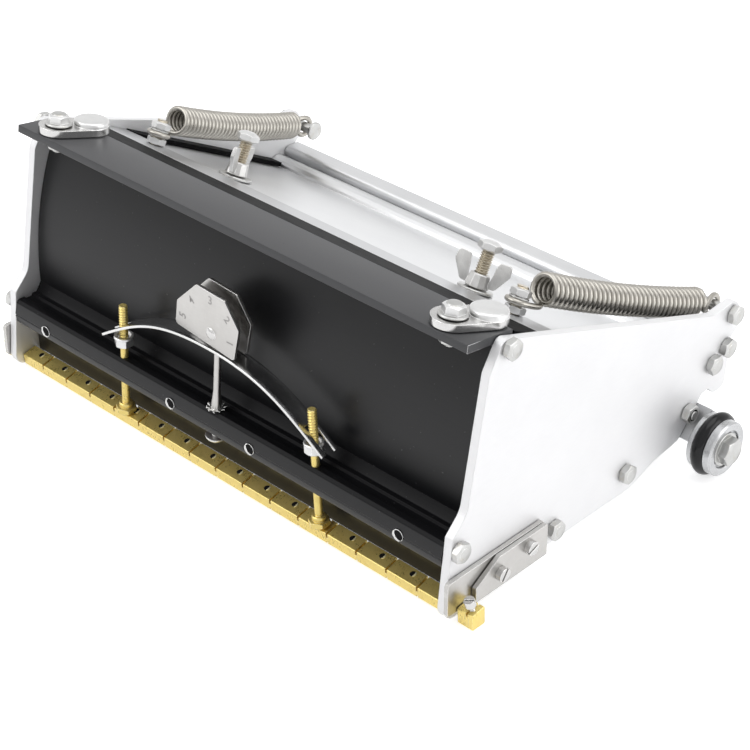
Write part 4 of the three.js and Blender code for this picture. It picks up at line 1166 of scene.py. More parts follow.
@dataclass
class BoxBody:
    """Front extrusion, floor, rear member and axle bar, with the drilled holes along the foot."""

    wall_inner: float = 111.4
    wall_thick: float = 3.0
    wall_low: Pair = (12.0, 30.0)
    wall_rear: Pair = (15.4, 3.6)
    arc_steps: int = 48
    flange: Pair = (19.3, 2.6)
    foot: tuple[Pair, ...] = (
        (8.2, 26.8), (6.4, 26.8), (6.0, 26.0), (3.4, 26.0), (3.0, 26.8), (0.4, 26.8), (-0.5, 26.0), (-1.5, 21.8),
        (-0.95, 21.5), (-1.5, 21.2), (-1.0, 18.5), (6.9, 17.4), (7.3, 3.6),
    )
    bend: Pair = (9.0, 27.6)
    soft: float = 0.22
    hole_places: tuple[float, ...] = (-83.0, -18.9, 18.5, 82.6)
    hole_height: float = 21.6
    hole_radius: float = 1.9
    rim: float = 1.15
    # Side where the rim's painted highlight is widest, and how fast it fades.
    rim_turn: float = math.radians(215)
    rim_fade: float = 2.6
    rim_steps: int = 40

    def build(self) -> None:
        """Build the front extrusion and dress the others."""
        self.front_wall()
        dress(Look.GREY, "bottom_plate", "axle_bar")
        dress(Look.LID, "rear_cross_member")
        face = DRAWN + min(y for y, _ in self.foot)
        for number, x in enumerate(self.hole_places, 1):
            self.hole(number, Vector((x, face, self.hole_height)))

    def arc(self, radius: float, start: float, end: float) -> list[Triple]:
        """Corners along an arc about the hinge.

        Args:
            radius: Its radius.
            start: Height where it starts.
            end: Height where it ends.

        Returns:
            The corners, in the drawing's y and z.
        """
        first, last = (math.pi - math.asin((z - HINGE.z) / radius) for z in (start, end))
        turns = (first + (last - first) * i / self.arc_steps for i in range(self.arc_steps + 1))
        return [(HINGE.y + radius * math.cos(t) - DRAWN, HINGE.z + radius * math.sin(t), 0.0) for t in turns]

    def front_wall(self) -> None:
        """Build the front extrusion: top flange, curved wall and foot."""
        sine, cosine = math.sin(FLANGE_SLOPE), math.cos(FLANGE_SLOPE)
        long, thick = self.flange
        rear = Vector((HINGE.y - DRAWN - self.wall_inner * math.cos(LID_SLOPE),
                       HINGE.z + self.wall_inner * math.sin(LID_SLOPE)))
        top = rear + Vector((thick * sine, thick * cosine))
        nose = top + Vector((-long * cosine, long * sine))
        chin = nose - Vector((thick * sine, thick * cosine))
        inner = self.arc(self.wall_inner, self.wall_low[0], rear.y)
        outer = self.arc(self.wall_inner + self.wall_thick, rear.y + self.wall_thick * sine, self.wall_low[1])
        corners = [(*self.wall_rear, self.soft), *inner, (top.x, top.y, self.soft), (nose.x, nose.y, self.soft),
                   (chin.x, chin.y, self.soft), *outer, (*self.bend, 0.0), *((y, z, self.soft) for y, z in self.foot)]
        outline = [Vector((DRAWN + p.x, p.y)) for p in rounded(corners, 4)]
        low, high = node_box("front_wall")
        piece = Piece("front_extrusion", Look.BLACK)
        piece.add(slab(outline, low.x, high.x, 0), DRAWN_ACROSS)
        piece.build("frame", ("front_wall",))

    def hole(self, number: int, origin: Vector) -> None:
        """Build one drilled hole: a disc of painted shade, and a bare, chipped rim that is widest on its lower left and
        fades on the far side, a painted highlight.

        Args:
            number: Its number, from the left.
            origin: Its middle, on the face of the foot.
        """
        piece = Piece(f"foot_hole_{number}", Look.BORE, seated(origin, FORWARD, AXIS_X))
        piece.add(drilled(self.hole_radius, 32))
        inner = self.hole_radius
        sections = []
        for k in range(self.rim_steps):
            turn = math.tau * k / self.rim_steps
            chip = 0.3 * math.sin(5 * turn + number) + 0.25 * math.sin(9 * turn + 2 * number)
            # The rim is widest on the lower left and fades on the far side: a painted highlight; the chips are wear.
            lit_share = (1 + math.cos(turn - self.rim_turn)) / 2
            width = self.rim * max(0.02, lit_share ** self.rim_fade + 0.35 * chip)
            section = ((-0.5, -0.1), (-0.4, 0.09), (0.45, 0.05), (0.45, -0.15))
            sections.append([polar(inner + share * width, turn, height) for share, height in section])
        piece.add(belt(sections), look=Look.CAP)
        piece.build("frame")


@dataclass
class PressurePlate:
    """The hinged pressure plate with its seals, studs, handle bolts and wing nuts."""

    top: float = 0.44
    thick: float = 3.0
    stud_x: float = 80.7
    stud_u: float = 85.8
    stud_seat: float = 2.24
    stud_flats: float = 5.9
    stud_thread: Triple = (2.0, 0.9, 0.35)
    stud_washer: float = 3.2
    nuts: Triple = (2.3, 2.8, 2.8)
    nut_turn: float = 14.0
    proud: float = 0.7
    handle_x: float = 54.6
    handle_u: float = 71.0
    bolt_radius: float = 2.2
    bolt_flats: float = 7.1
    bolt_thread: Pair = (0.85, 0.42)
    dome: tuple[Pair, ...] = ((0, -0.1), (2.3, -0.02), (2.0, 0.14), (1.2, 0.26), (0, 0.3))
    head: Pair = (13.6, 17.1)
    washer: Triple = (2.5, 5.9, 0.9)
    hub: tuple[Pair, ...] = (
        (2.3, 0.3), (2.6, 0), (3.7, 0), (3.95, 0.3), (3.75, 1.6), (3.3, 4.2), (3.0, 4.55), (2.5, 4.6), (2.3, 4.2),
    )
    wing_thick: float = 1.3
    wing: tuple[Triple, ...] = (
        (2.6, 0.5, 0.3), (5.9, 0.8, 1.2), (9.3, 6.4, 1.0), (8.9, 9.9, 0.9), (4.7, 9.5, 0.9), (3.9, 3.7, 1.0),
    )

    def build(self) -> None:
        """Dress the plate and build what it carries."""
        dress(Look.LID, "pressure_plate")
        dress(Look.STRIP, "seal_clamp_strip")
        dress(Look.SEAL, "front_seal", *both("side_seal"))
        for name, side in SIDES:
            self.spring_stud(name, side)
            self.handle_bolt(name, side)
            self.wing_nut(name, side)

    def frame_at(self, x: float, forward: float, above: float, toward: Vector) -> Matrix:
        """Frame standing on the plate."""
        normal = Vector((0, math.sin(LID_SLOPE), math.cos(LID_SLOPE)))
        return seated(lid_point(x, forward, above), normal, toward)

    def corner_at(self, node: str, x: float, forward: float, low: float, high: float) -> Vector:
        """Direction of a corner of a node's hexagon that stands on the plate."""
        normal = Vector((0, math.sin(LID_SLOPE), math.cos(LID_SLOPE)))
        return corner_direction(node, lid_point(x, forward, 0), normal, low, high)

    def spring_stud(self, name: str, side: int) -> None:
        """Build the stud that holds a spring's front hook, with its two nuts.

        Args:
            name: left or right.
            side: -1 on the left, 1 on the right.
        """
        node = f"spring_stud_{name}"
        low_nut, room, high_nut = self.nuts
        seat, upper = self.stud_seat, self.stud_seat + low_nut + room
        toward = self.corner_at(node, side * self.stud_x, self.stud_u, upper, upper + high_nut)
        piece = Piece(f"stud.{node}", Look.ZINC, self.frame_at(side * self.stud_x, self.stud_u, 0, toward))
        radius, pitch, depth = self.stud_thread
        end = upper + high_nut + self.proud
        piece.add(threaded(radius, self.top - self.thick, end, pitch, depth), look=Look.THREAD)
        piece.add(hexagonal(self.stud_flats, seat, seat + low_nut, base=True), look=Look.CAP)
        turn = Matrix.Rotation(math.radians(self.nut_turn), 4, "Z")
        piece.add(hexagonal(self.stud_flats, upper, upper + high_nut, base=True, share=0.8), turn, Look.CAP)
        piece.add(turned(pill(self.stud_washer, upper - 0.5, upper + 0.05, 0.12)))
        piece.build("pressure_plate", (node,))

    def handle_bolt(self, name: str, side: int) -> None:
        """Build a handle bolt with its washer.

        Args:
            name: left or right.
            side: -1 on the left, 1 on the right.
        """
        node = f"handle_bolt_{name}"
        low, high = self.head
        seat = self.top + SEAT
        toward = self.corner_at(node, side * self.handle_x, self.handle_u, low, high)
        piece = Piece(f"stud.{node}", Look.ZINC, self.frame_at(side * self.handle_x, self.handle_u, 0, toward))
        shank = threaded(self.bolt_radius, self.top - self.thick - 2, low + 0.2, *self.bolt_thread)
        piece.add(shank, look=Look.THREAD)
        piece.add(hexagonal(self.bolt_flats, low, high, base=True, share=0.66), look=Look.CAP)
        piece.add(turned(raised(self.dome, high)), look=Look.CAP)
        bore, radius, thick = self.washer
        ring = [(bore, seat), (radius - 0.15, seat), (radius, seat + 0.2), (radius, seat + thick - 0.25),
                (radius - 0.25, seat + thick), (bore, seat + thick)]
        piece.add(turned(ring, 64, closed=True))
        piece.build("pressure_plate", (node,))

    def wing_nut(self, name: str, side: int) -> None:
        """Build a wing nut: a tapered, faceted hub with two flared wings.

        Args:
            name: left or right.
            side: -1 on the left, 1 on the right.
        """
        node = f"wing_nut_{name}"
        base = self.top + SEAT + self.washer[2] + SEAT
        toward = self.corner_at(node, side * self.handle_x, self.handle_u, base + 6, base + 12)
        piece = Piece(f"nut.{node}", Look.CAST, self.frame_at(side * self.handle_x, self.handle_u, base, toward))
        piece.add(turned(self.hub, 10, closed=True))
        for turn in (0, math.pi):
            where = Matrix.Rotation(turn, 4, "Z") @ Matrix.Rotation(math.pi / 2, 4, "X")
            piece.add(slab(rounded(self.wing, 6), -self.wing_thick / 2, self.wing_thick / 2, 0.28, 3), where)
        piece.build(f"wing_nut_{name}", (node,), crease=28)


@dataclass
class ReturnSprings:
    """The two tension springs between the pressure plate and the side plates."""

    plate: PressurePlate
    turns: float = 33.75
    steps: int = 20
    wire: float = 0.94
    front_radius: float = 4.45
    rear_radius: float = 4.1
    sag: float = 1.5
    bend_from: float = 0.55
    hook_radius: float = 3.3
    start: Triple = (0.4, 8.6, 4.2)
    end: Pair = (8.6, 0.7)
    pull: float = 3.8
    hook_steps: int = 22
    bridge_steps: int = 10
    front_sweep: Pair = (-250, -12)
    rear_sweep: Pair = (80, -160)

    def build(self) -> None:
        """Build both springs."""
        for name, side in SIDES:
            self.spring(name, side)

    def hook(self, centre: Vector, a: Vector, b: Vector, first: float, last: float) -> list[Vector]:
        """Points of a hook.

        Args:
            centre: Its middle.
            a: Direction where its angle is 0.
            b: Direction where its angle is 90 degrees.
            first: Its first angle, in degrees.
            last: Its last angle, in degrees.

        Returns:
            The points.
        """
        steps = self.hook_steps
        angles = (math.radians(first + (last - first) * i / steps) for i in range(steps + 1))
        return [centre + self.hook_radius * (a * math.cos(t) + b * math.sin(t)) for t in angles]

    def bridge(self, before: list[Vector], after: list[Vector]) -> list[Vector]:
        """Smooth points from one stretch of wire to the next.

        Args:
            before: The stretch that it leaves.
            after: The stretch that it meets.

        Returns:
            The points between them.
        """
        start, end = before[-1], after[0]
        leaving = start + (start - before[-2]).normalized() * self.pull
        arriving = end + (end - after[1]).normalized() * self.pull
        controls = (start, leaving, arriving, end)
        return [bezier(controls, i / self.bridge_steps) for i in range(1, self.bridge_steps)]

    def coils(self, first: Vector, last: Vector, side: int) -> list[Vector]:
        """Points of the coils, tapering a little to the rear.

        Args:
            first: Middle of the front coil.
            last: Middle of the rear coil.
            side: -1 on the left, 1 on the right.

        Returns:
            The points.
        """
        way = (last - first).normalized()
        across = way.cross(AXIS_Z).normalized() * side
        up = across.cross(way).normalized() * side
        count = round(self.turns * self.steps)
        made = []
        for i in range(count + 1):
            share = i / count
            turn = math.pi / 2 + math.tau * i / self.steps
            radius = self.front_radius + (self.rear_radius - self.front_radius) * share
            middle = first.lerp(last, share) - Vector((0, 0, self.sag * 4 * share * (1 - share)))
            made.append(middle + radius * (across * math.cos(turn) - up * math.sin(turn)))
        return made

    def spring(self, name: str, side: int) -> None:
        """Build one spring.

        Args:
            name: left or right.
            side: -1 on the left, 1 on the right.
        """
        rearward = Vector((0, math.cos(LID_SLOPE), -math.sin(LID_SLOPE)))
        low_nut, room, _ = self.plate.nuts
        height = self.plate.stud_seat + low_nut + room / 2
        stud = lid_point(side * self.plate.stud_x, self.plate.stud_u, height)
        bolt = node_middle(f"spring_anchor_{name}")
        anchor = Vector((side * (PLATE_FACE - PLATE_THICK - ANCHOR_INSIDE / 2), bolt.y, bolt.z))
        way = (anchor - stud).normalized()
        lift = AXIS_X.cross(way).normalized()
        shift, along, above = self.start
        first = stud + way * along + lift * above + Vector((side * shift, 0, 0))
        last = anchor - way * self.end[0] + lift * self.end[1]
        front = self.hook(stud, Vector((side, 0, 0)), rearward, *self.front_sweep)
        inward = Vector((0, way.y, way.z)).normalized()
        rear = self.hook(anchor, inward, AXIS_X.cross(inward), *self.rear_sweep)
        coil = self.coils(first, last, side)
        points = front + self.bridge(front, coil) + coil + self.bridge(coil, rear) + rear
        piece = Piece(f"spring_{name}", Look.WIRE)
        piece.add(swept(points, [self.wire] * len(points), 12))
        made = piece.build(None, (f"return_spring_{name}",), crease=70)
        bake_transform(made)


@dataclass
class Latches:
    """The two polished turn latches on the flange, with their bolts."""

    pivot_radius: float = 6.6
    tip_radius: float = 6.0
    reach: float = 11.0
    thick: float = 2.4
    disc: Pair = (5.85, 2.0)
    flats: float = 6.3
    head: float = 2.7
    washer: Pair = (4.6, 0.7)
    nut: float = 2.6
    proud: float = 1.0
    turn: float = 27.0
    disc_edge: tuple[Pair, ...] = ((0, -0.75), (0.2, -0.35), (0.7, -0.08), (1.5, 0))
    thread: Triple = (1.9, 0.8, 0.3)
    dome: tuple[Pair, ...] = ((0, -0.1), (2.5, -0.03), (2.2, 0.28), (1.2, 0.46), (0, 0.52))
    flange_thick: float = 2.6

    def build(self) -> None:
        """Build both latches."""
        for name, _ in SIDES:
            self.latch(name)
            self.bolt(name)

    def axis(self) -> Vector:
        """Direction square to the flange."""
        return Vector((0, math.sin(FLANGE_SLOPE), math.cos(FLANGE_SLOPE)))

    def pivot(self, name: str) -> Vector:
        """Where a latch's underside meets its axis."""
        place = joint_place(f"latch_{name}_swivel")
        return place + self.axis() * (SEAT - 1.0)

    def latch(self, name: str) -> None:
        """Build one latch plate with its raised finger disc.

        Args:
            name: left or right.
        """
        rear = Vector((0, math.cos(FLANGE_SLOPE), -math.sin(FLANGE_SLOPE)))
        way = Matrix.Rotation(-math.radians(self.turn), 4, self.axis()) @ rear
        piece = Piece(f"latch_plate_{name}", Look.POLISHED, seated(self.pivot(name), self.axis(), way))
        lean = math.asin((self.pivot_radius - self.tip_radius) / self.reach)
        outline = []
        for centre, radius, first, last in (
            (0.0, self.pivot_radius, math.pi / 2 - lean, 3 * math.pi / 2 + lean),
            (self.reach, self.tip_radius, -math.pi / 2 + lean, math.pi / 2 - lean),
        ):
            for k in range(25):
                t = first + (last - first) * k / 24
                outline.append(Vector((centre + radius * math.cos(t), radius * math.sin(t))))
        piece.add(slab(outline, 0, self.thick, 0.55, 3))
        radius, thick = self.disc
        top = self.thick + thick
        edge = [(radius - inset, top + rise) for inset, rise in self.disc_edge]
        disc = [(0, self.thick - 0.2), (radius, self.thick - 0.2), *edge, (0, top + 0.12)]
        piece.add(turned(disc, 64), Matrix.Translation((self.reach, 0, 0)), Look.CAP)
        piece.build(f"latch_{name}", (f"latch_{name}",), crease=40)

    def bolt(self, name: str) -> None:
        """Build a latch's bolt, washer and lower nut.

        Args:
            name: left or right.
        """
        node = f"latch_bolt_{name}"
        seat = self.thick + SEAT
        origin = self.pivot(name) + self.axis() * seat
        toward = corner_direction(node, origin, self.axis(), self.washer[1] + 0.5)
        piece = Piece(f"bolt.{node}", Look.ZINC, seated(origin, self.axis(), toward))
        radius, thick = self.washer
        piece.add(turned([(0, 0), (radius - 0.1, 0), (radius, 0.15), (radius, thick - 0.3), (radius - 0.3, thick),
                          (radius - 1.0, thick + 0.02), (0, thick + 0.02)], 56))
        top = thick + self.head
        piece.add(hexagonal(self.flats, thick, top, share=0.8), look=Look.CAP)
        piece.add(turned(raised(self.dome, top)))
        under = -(self.thick + 3 * SEAT + self.flange_thick)
        shank, pitch, depth = self.thread
        piece.add(threaded(shank, under - self.nut - self.proud, 0, pitch, depth))
        piece.add(hexagonal(self.flats, under - self.nut, under, top=False, base=True))
        piece.build("frame", (node,))


@dataclass
class BladeAndHolder:
    """The blade, its sawn brass holder and the skids at its ends."""

    skid_face: float = 106.6
    screws: tuple[Triple, ...] = ((30.5, 12.6, 0.35), (17.5, 9.9, 1.0))
    screw_radius: float = 2.35
    screw_height: float = 2.1
    shoe_x: float = 109.0
    shoe_y: float = 0.9
    shoe_z: float = 6.4
    shoe_corners: tuple[Triple, ...] = ((0.6, 0.0, 0.3), (6.1, 0.0, 0.3), (5.8, 6.4, 0.4), (0.2, 5.6, 0.4))
    shoe_slot: Triple = (3.2, 4.0, 1.3)
    shoe_middle: float = 3.0
    shoe_screw_lean: Triple = (0.12, -0.28, 1.0)
    holder_top: Pair = (4.4, 14.28)
    saw_pitch: float = 12.7
    dimple: Triple = (0.64, 3.4, 1.05)
    dimple_end: float = 2.0
    saw_cells: int = 9
    # Span and steps of the painted highlight crescent in each dimple.
    wall_span: float = 65.0
    wall_steps: int = 10

    def build(self) -> None:
        """Dress the blade, its holder and the skids, and build the dimples, shoes and small screws."""
        dress(Look.BRASS, "blade_holder")
        self.dimples()
        dress(Look.BLADE, "blade")
        dress(Look.SHEET, *both("skid_plate"), *both("skid_cover"))
        for name, side in SIDES:
            for number, (back, up, turn) in enumerate(self.screws, 1):
                origin = Vector((side * self.skid_face, DRAWN + back, up))
                self.cheese_screw(f"skid_screw_{name}_{number}", origin, Vector((side, 0, 0)), turn)
            self.shoe(name, side)
            self.shoe_screw(name, side)

    def dimples(self) -> None:
        """Build the drilled dimple in each segment of the holder: a disc of painted shade, and a pale brass crescent on
        its far wall, a painted highlight.
        """
        front, slope = self.holder_top
        lean = math.radians(slope)
        share, back, radius = self.dimple
        end = node_box("blade_holder")[1].x - self.dimple_end
        turns = [math.radians(-self.wall_span + 2 * self.wall_span * k / self.wall_steps)
                 for k in range(self.wall_steps + 1)]
        highlight_walls = [[polar(radius * 0.3 + 0.45 * abs(t), t, 0), polar(radius * 0.35 + 0.45 * abs(t), t, 0.1),
                  polar(radius, t, 0.16), polar(radius + 0.05, t, 0)] for t in turns]
        piece = Piece("holder_dimples", Look.BRASS)
        for i in range(-self.saw_cells, self.saw_cells):
            x = (i + share) * self.saw_pitch
            if abs(x) < end:
                spot = Vector((x, DRAWN + back, front + back * math.tan(lean)))
                place = seated(spot, Vector((0, -math.sin(lean), math.cos(lean))), AXIS_X)
                piece.add(drilled(radius, 24), place, Look.BORE)
                # Pale crescent on the dimple's far wall: a painted highlight.
                piece.add(belt(highlight_walls, closed=False), place, Look.BRASS_CUT)
        piece.build("frame")

    def shoe(self, name: str, side: int) -> None:
        """Build the brass shoe that runs on the wall, with the slot across its top.

        Args:
            name: left or right.
            side: -1 on the left, 1 on the right.
        """
        low, high = node_box(f"skid_shoe_{name}")
        near, far = (low.x, high.x) if side > 0 else (high.x, low.x)
        first, last, deep = self.shoe_slot
        piece = Piece(f"shoe.{name}", Look.BRASS)
        blocks = ((0, first, 0, 0.14), (last, abs(far - near), 0, 0.14), (first - 0.3, last + 0.3, deep, 0))
        for start, end, drop, soft in blocks:
            corners = [(y, z - drop if z > self.shoe_middle else z, radius) for y, z, radius in self.shoe_corners]
            outline = [Vector((DRAWN + p.x, p.y)) for p in rounded(corners)]
            ends = sorted((near + side * start, near + side * end))
            piece.add(slab(outline, *ends, soft), DRAWN_ACROSS)
        piece.build("frame", (f"skid_shoe_{name}",))

    def cheese_screw(self, name: str, origin: Vector, axis: Vector, turn: float) -> None:
        """Build a slotted screw with a tall round head.

        Args:
            name: Its name.
            origin: Its seat.
            axis: Direction of its head.
            turn: Turn of its slot, in radians.
        """
        toward = Vector((0, math.cos(turn), math.sin(turn)))
        piece = Piece(name, Look.POLISHED, seated(origin, axis, toward))
        self.slotted_head(piece, self.screw_radius, self.screw_height, 0.75, 0.9)
        piece.add(turned(pill(1.5, -3.0, 0.1)))
        piece.build("frame")

    def slotted_head(
        self, piece: Piece, radius: float, height: float, width: float, deep: float, where: Optional[Matrix] = None,
    ) -> None:
        """Add a slotted head.

        Args:
            piece: Where it goes.
            radius: Its radius.
            height: Its height.
            width: Width of the slot.
            deep: Depth of the slot.
            where: Its place in the piece's frame.
        """
        base = [(0, 0), (radius - 0.1, 0), (radius, 0.12), (radius, height - deep), (0, height - deep)]
        piece.add(turned(base, 48), where)
        first = math.asin(width / 2 / radius)
        for flip in (0, math.pi):
            outline = [polar(radius, first + (math.pi - 2 * first) * k / 20, 0) for k in range(21)]
            half = slab(outline, height - deep - 0.02, height, 0.2, 2)
            piece.add(half, (where or Matrix()) @ Matrix.Rotation(flip, 4, "Z"))

    def shoe_screw(self, name: str, side: int) -> None:
        """Build the leaning screw that sets a shoe.

        Args:
            name: left or right.
            side: -1 on the left, 1 on the right.
        """
        origin = Vector((side * self.shoe_x, DRAWN + self.shoe_y + 1.6, self.shoe_z - 0.6))
        inward, *rest = self.shoe_screw_lean
        axis = Vector((-side * inward, *rest))
        piece = Piece(f"shoe_screw_{name}", Look.POLISHED, seated(origin, axis, Vector((side, 0, 0))))
        piece.add(threaded(0.95, -1.0, 2.2, 0.5, 0.2))
        self.slotted_head(piece, 1.75, 2.4, 0.5, 0.7, Matrix.Translation((0, 0, 1.9)) @ Matrix.Rotation(0.5, 4, "Z"))
        piece.build("frame")


@dataclass
class CrownAdjuster:
    """The brass rods and their nuts, the bow leaf, the post and the cam dial."""

    rod_x: float = 46.1
    rod_z: float = 5.0
    lean: float = 3.3
    rod_radius: float = 1.45
    rod_length: float = 42.0
    rod_flats: float = 6.4
    rod_collar: Triple = (2.35, 1.8, 3.6)
    rod_thread: Pair = (1.0, 0.36)
    nut_from: float = 27.3
    nut_flats: float = 5.7
    nut_height: float = 3.1
    cup: tuple[Pair, ...] = (
        (1.75, 2.9), (3.2, 2.9), (3.4, 3.1), (3.35, 3.6), (3.1, 3.8), (2.4, 3.8), (2.1, 3.4),
    )
    back: float = 1.8
    leaf_top: float = 51.5
    leaf_end: Triple = (51.3, 34.2, 33.0)
    leaf_pulls: Pair = (24.0, 20.0)
    leaf_thick: float = 0.9
    leaf_front: float = -1.9
    leaf_width: float = 7.0
    leaf_crease: float = 40.0
    leaf_soft: float = 0.16
    leaf_keep: float = 0.36
    fork_from: float = 41.9
    fork_width: float = 3.6
    post_hole: float = 2.1
    post_lean: float = 5.2
    post_length: float = 30.7
    post_foot: tuple[Pair, ...] = ((1.15, 0.2), (1.72, 0.35), (1.66, 2.5), (1.35, 5.5), (1.15, 8.0))
    post_head: tuple[Pair, ...] = ((0, -1.2), (1.5, -1.1), (2.6, -0.6), (3.25, 0.1), (3.45, 0.8), (0, 1.0))
    eye: tuple[Pair, ...] = ((1.05, -1.8), (1.9, -1.8), (2.1, -1.6), (2.1, 1.6), (1.9, 1.8), (1.05, 1.8))
    foot_top: float = 26.8
    dial_width: float = 6.2
    dial_plate: float = 1.0
    dial_dome: tuple[Pair, ...] = ((0, 0.85), (0.8, 0.78), (1.5, 0.55), (2.0, 0.2), (2.1, -0.1), (0, -0.1))
    teeth: int = 10
    digit_size: float = 4.1
    digit_inset: float = 3.0
    cam: tuple[Triple, ...] = (
        (-16.5, -2.7, 1.0), (10.1, -5.6, 1.0), (12.8, 6.2, 1.0), (6.8, 14.6, 1.0), (-5.7, 15.4, 1.0), (-15.1, 6.1, 1.0),
    )
    numbered: tuple[int, ...] = (1, 2, 3, 4, 5)

    def build(self) -> None:
        """Build the rods, the leaf, the post and the dial."""
        for name, side in SIDES:
            self.rod(name, side)
            self.nut(name, side)
        self.leaf()
        self.post()
        self.dial()

    def rod_frame(self, side: int, toward: Vector) -> Matrix:
        """Frame of a rod, +Z up along it.

        Args:
            side: -1 on the left, 1 on the right.
            toward: Where its +X points.

        Returns:
            Its frame.
        """
        lean = math.radians(self.lean)
        axis = Vector((-side * math.sin(lean), 0, math.cos(lean)))
        return seated(Vector((side * self.rod_x, DRAWN + self.back, self.rod_z)), axis, toward)

    def rod(self, name: str, side: int) -> None:
        """Build a threaded brass rod with its hexagon foot.

        Args:
            name: left or right.
            side: -1 on the left, 1 on the right.
        """
        node = f"adjuster_rod_{name}"
        spot = self.rod_frame(side, AXIS_X)
        toward = corner_direction(node, spot.translation, spot.col[2].xyz, 0.2, 2.2)
        piece = Piece(f"rod.{name}", Look.BRASS, self.rod_frame(side, toward))
        piece.add(turned(pill(self.rod_radius - 0.1, -1, self.nut_from + 2, 0.3), 36))
        piece.add(threaded(self.rod_radius + 0.05, self.nut_from + 1, self.rod_length, *self.rod_thread))
        piece.add(hexagonal(self.rod_flats, 0, 2, base=True))
        piece.add(turned(pill(*self.rod_collar, 0.3)))
        piece.build("frame", (node,))

    def nut(self, name: str, side: int) -> None:
        """Build the nut and the round cup on it that carry the leaf's end.

        Args:
            name: left or right.
            side: -1 on the left, 1 on the right.
        """
        node = f"adjuster_nut_{name}"
        spot = self.rod_frame(side, AXIS_X)
        axis = spot.col[2].xyz
        toward = corner_direction(node, spot.translation, axis, self.nut_from, self.nut_from + 2)
        piece = Piece(f"nut.{node}", Look.CAP, self.rod_frame(side, toward))
        low = self.nut_from - 0.6
        piece.add(hexagonal(self.nut_flats, low, low + self.nut_height, top=False, base=True))
        piece.add(turned(raised(self.cup, low), 48, closed=True))
        piece.build("frame", (node,))

    def leaf(self) -> None:
        """Build the bow leaf, forked at its ends, and let it ride on the frame."""
        end_x, end_z, slope = self.leaf_end
        turn = math.radians(slope)
        middle_pull, end_pull = self.leaf_pulls
        points = [Vector((0, self.leaf_top)), Vector((middle_pull, self.leaf_top)),
                  Vector((end_x - end_pull * math.cos(turn), end_z + end_pull * math.sin(turn))),
                  Vector((end_x, end_z))]
        post_x = (self.leaf_top - self.foot_top) * math.tan(math.radians(self.post_lean))
        stops = self.leaf_stops(points, post_x)
        front = DRAWN + self.leaf_front
        lanes = [front, DRAWN + self.back - self.fork_width / 2, DRAWN + self.back + self.fork_width / 2,
                 front + self.leaf_width]
        vertices = [Vector((x, y, z)) for x, z in stops for y in lanes]
        faces: Faces = []
        for i in range(len(stops) - 1):
            middle = (stops[i][0] + stops[i + 1][0]) / 2
            for j in range(3):
                open_here = j == 1 and (abs(middle) > self.fork_from or abs(middle - post_x) < self.post_hole)
                if not open_here:
                    here = 4 * i + j
                    faces.append((here, here + 1, here + 5, here + 4))
        piece = Piece("bow_leaf", Look.LEAF)
        piece.add((vertices, faces))
        made = piece.build(None, ("bow_spring",), crease=self.leaf_crease)
        self.thicken(made)
        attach(made, "frame")
        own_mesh(made)

    def leaf_stops(self, points: list[Vector], post_x: float) -> list[Pair]:
        """Places along the leaf's middle line, with stops at its slots.

        Args:
            points: Control points of its right half.
            post_x: Where the post goes through it.

        Returns:
            The places, in x and z.
        """
        fine = [bezier(points, i / 400) for i in range(401)]

        def height(x: float) -> float:
            """Height of the curve over a place.

            Args:
                x: The place.

            Returns:
                The height.
            """
            spot = min(abs(x), fine[-1].x)
            for a, b in zip(fine, fine[1:]):
                if a.x <= spot <= b.x:
                    return a.y + (b.y - a.y) * (spot - a.x) / max(b.x - a.x, 1e-9)
            return fine[-1].y

        half = [bezier(points, i / 36).x for i in range(37)]
        places = {round(s * x, 4) for x in half for s in (-1, 1)}
        places |= {post_x - self.post_hole, post_x + self.post_hole, -self.fork_from, self.fork_from}
        ordered = sorted(places)
        kept = [ordered[0]]
        for x in ordered[1:]:
            if x - kept[-1] > 0.15:
                kept.append(x)
        return [(x, height(x)) for x in kept]

    def thicken(self, made: bpy.types.Object) -> None:
        """Give the leaf its thickness and soft edges, and give its edge faces the paler cap finish, a painted
        highlight.

        Args:
            made: The leaf as a sheet.
        """
        solid = made.modifiers.new("thickness", "SOLIDIFY")
        solid.thickness = self.leaf_thick * MM
        solid.offset = 0
        soft = made.modifiers.new("edges", "BEVEL")
        soft.width = self.leaf_soft * MM
        soft.segments = 2
        soft.limit_method = "ANGLE"
        bpy.context.view_layer.update()
        shaped = made.evaluated_get(bpy.context.evaluated_depsgraph_get())
        mesh = bpy.data.meshes.new_from_object(shaped)
        made.modifiers.clear()
        made.data = mesh
        mesh.materials.append(Look.CAP.value.material())
        # Edge faces in the paler cap finish: a painted highlight along the leaf's edge.
        for face in mesh.polygons:
            face.material_index = int(abs(face.normal.y) > 0.8)
        shade(mesh, self.leaf_crease)

    def post(self) -> None:
        """Build the leaning post with its toothed washer and the crowned head under the foot."""
        lean = math.radians(self.post_lean)
        axis = Vector((math.sin(lean), 0, math.cos(lean)))
        origin = Vector((0, DRAWN + self.back, self.foot_top))
        piece = Piece("post.dial", Look.SHEET, seated(origin, axis, AXIS_X))
        low = (node_box("dial_post")[0].z - self.foot_top) / math.cos(lean)
        high = self.post_length - 1
        shank = [(0, low + 0.5), (1.15, low + 0.5), *self.post_foot, (1.12, high), (0, high)]
        piece.add(turned(shank, 36))
        piece.add(turned(raised(self.post_head, low), 40), look=Look.CAP)
        spot = Matrix.Translation((0, DIAL_SET_BACK - self.back, self.post_length))
        piece.add(turned(self.eye, 36, True), spot @ Matrix.Rotation(math.pi / 2, 4, "X"))
        piece.add(self.toothed(), look=Look.POLISHED)
        piece.build("frame", ("dial_post",))

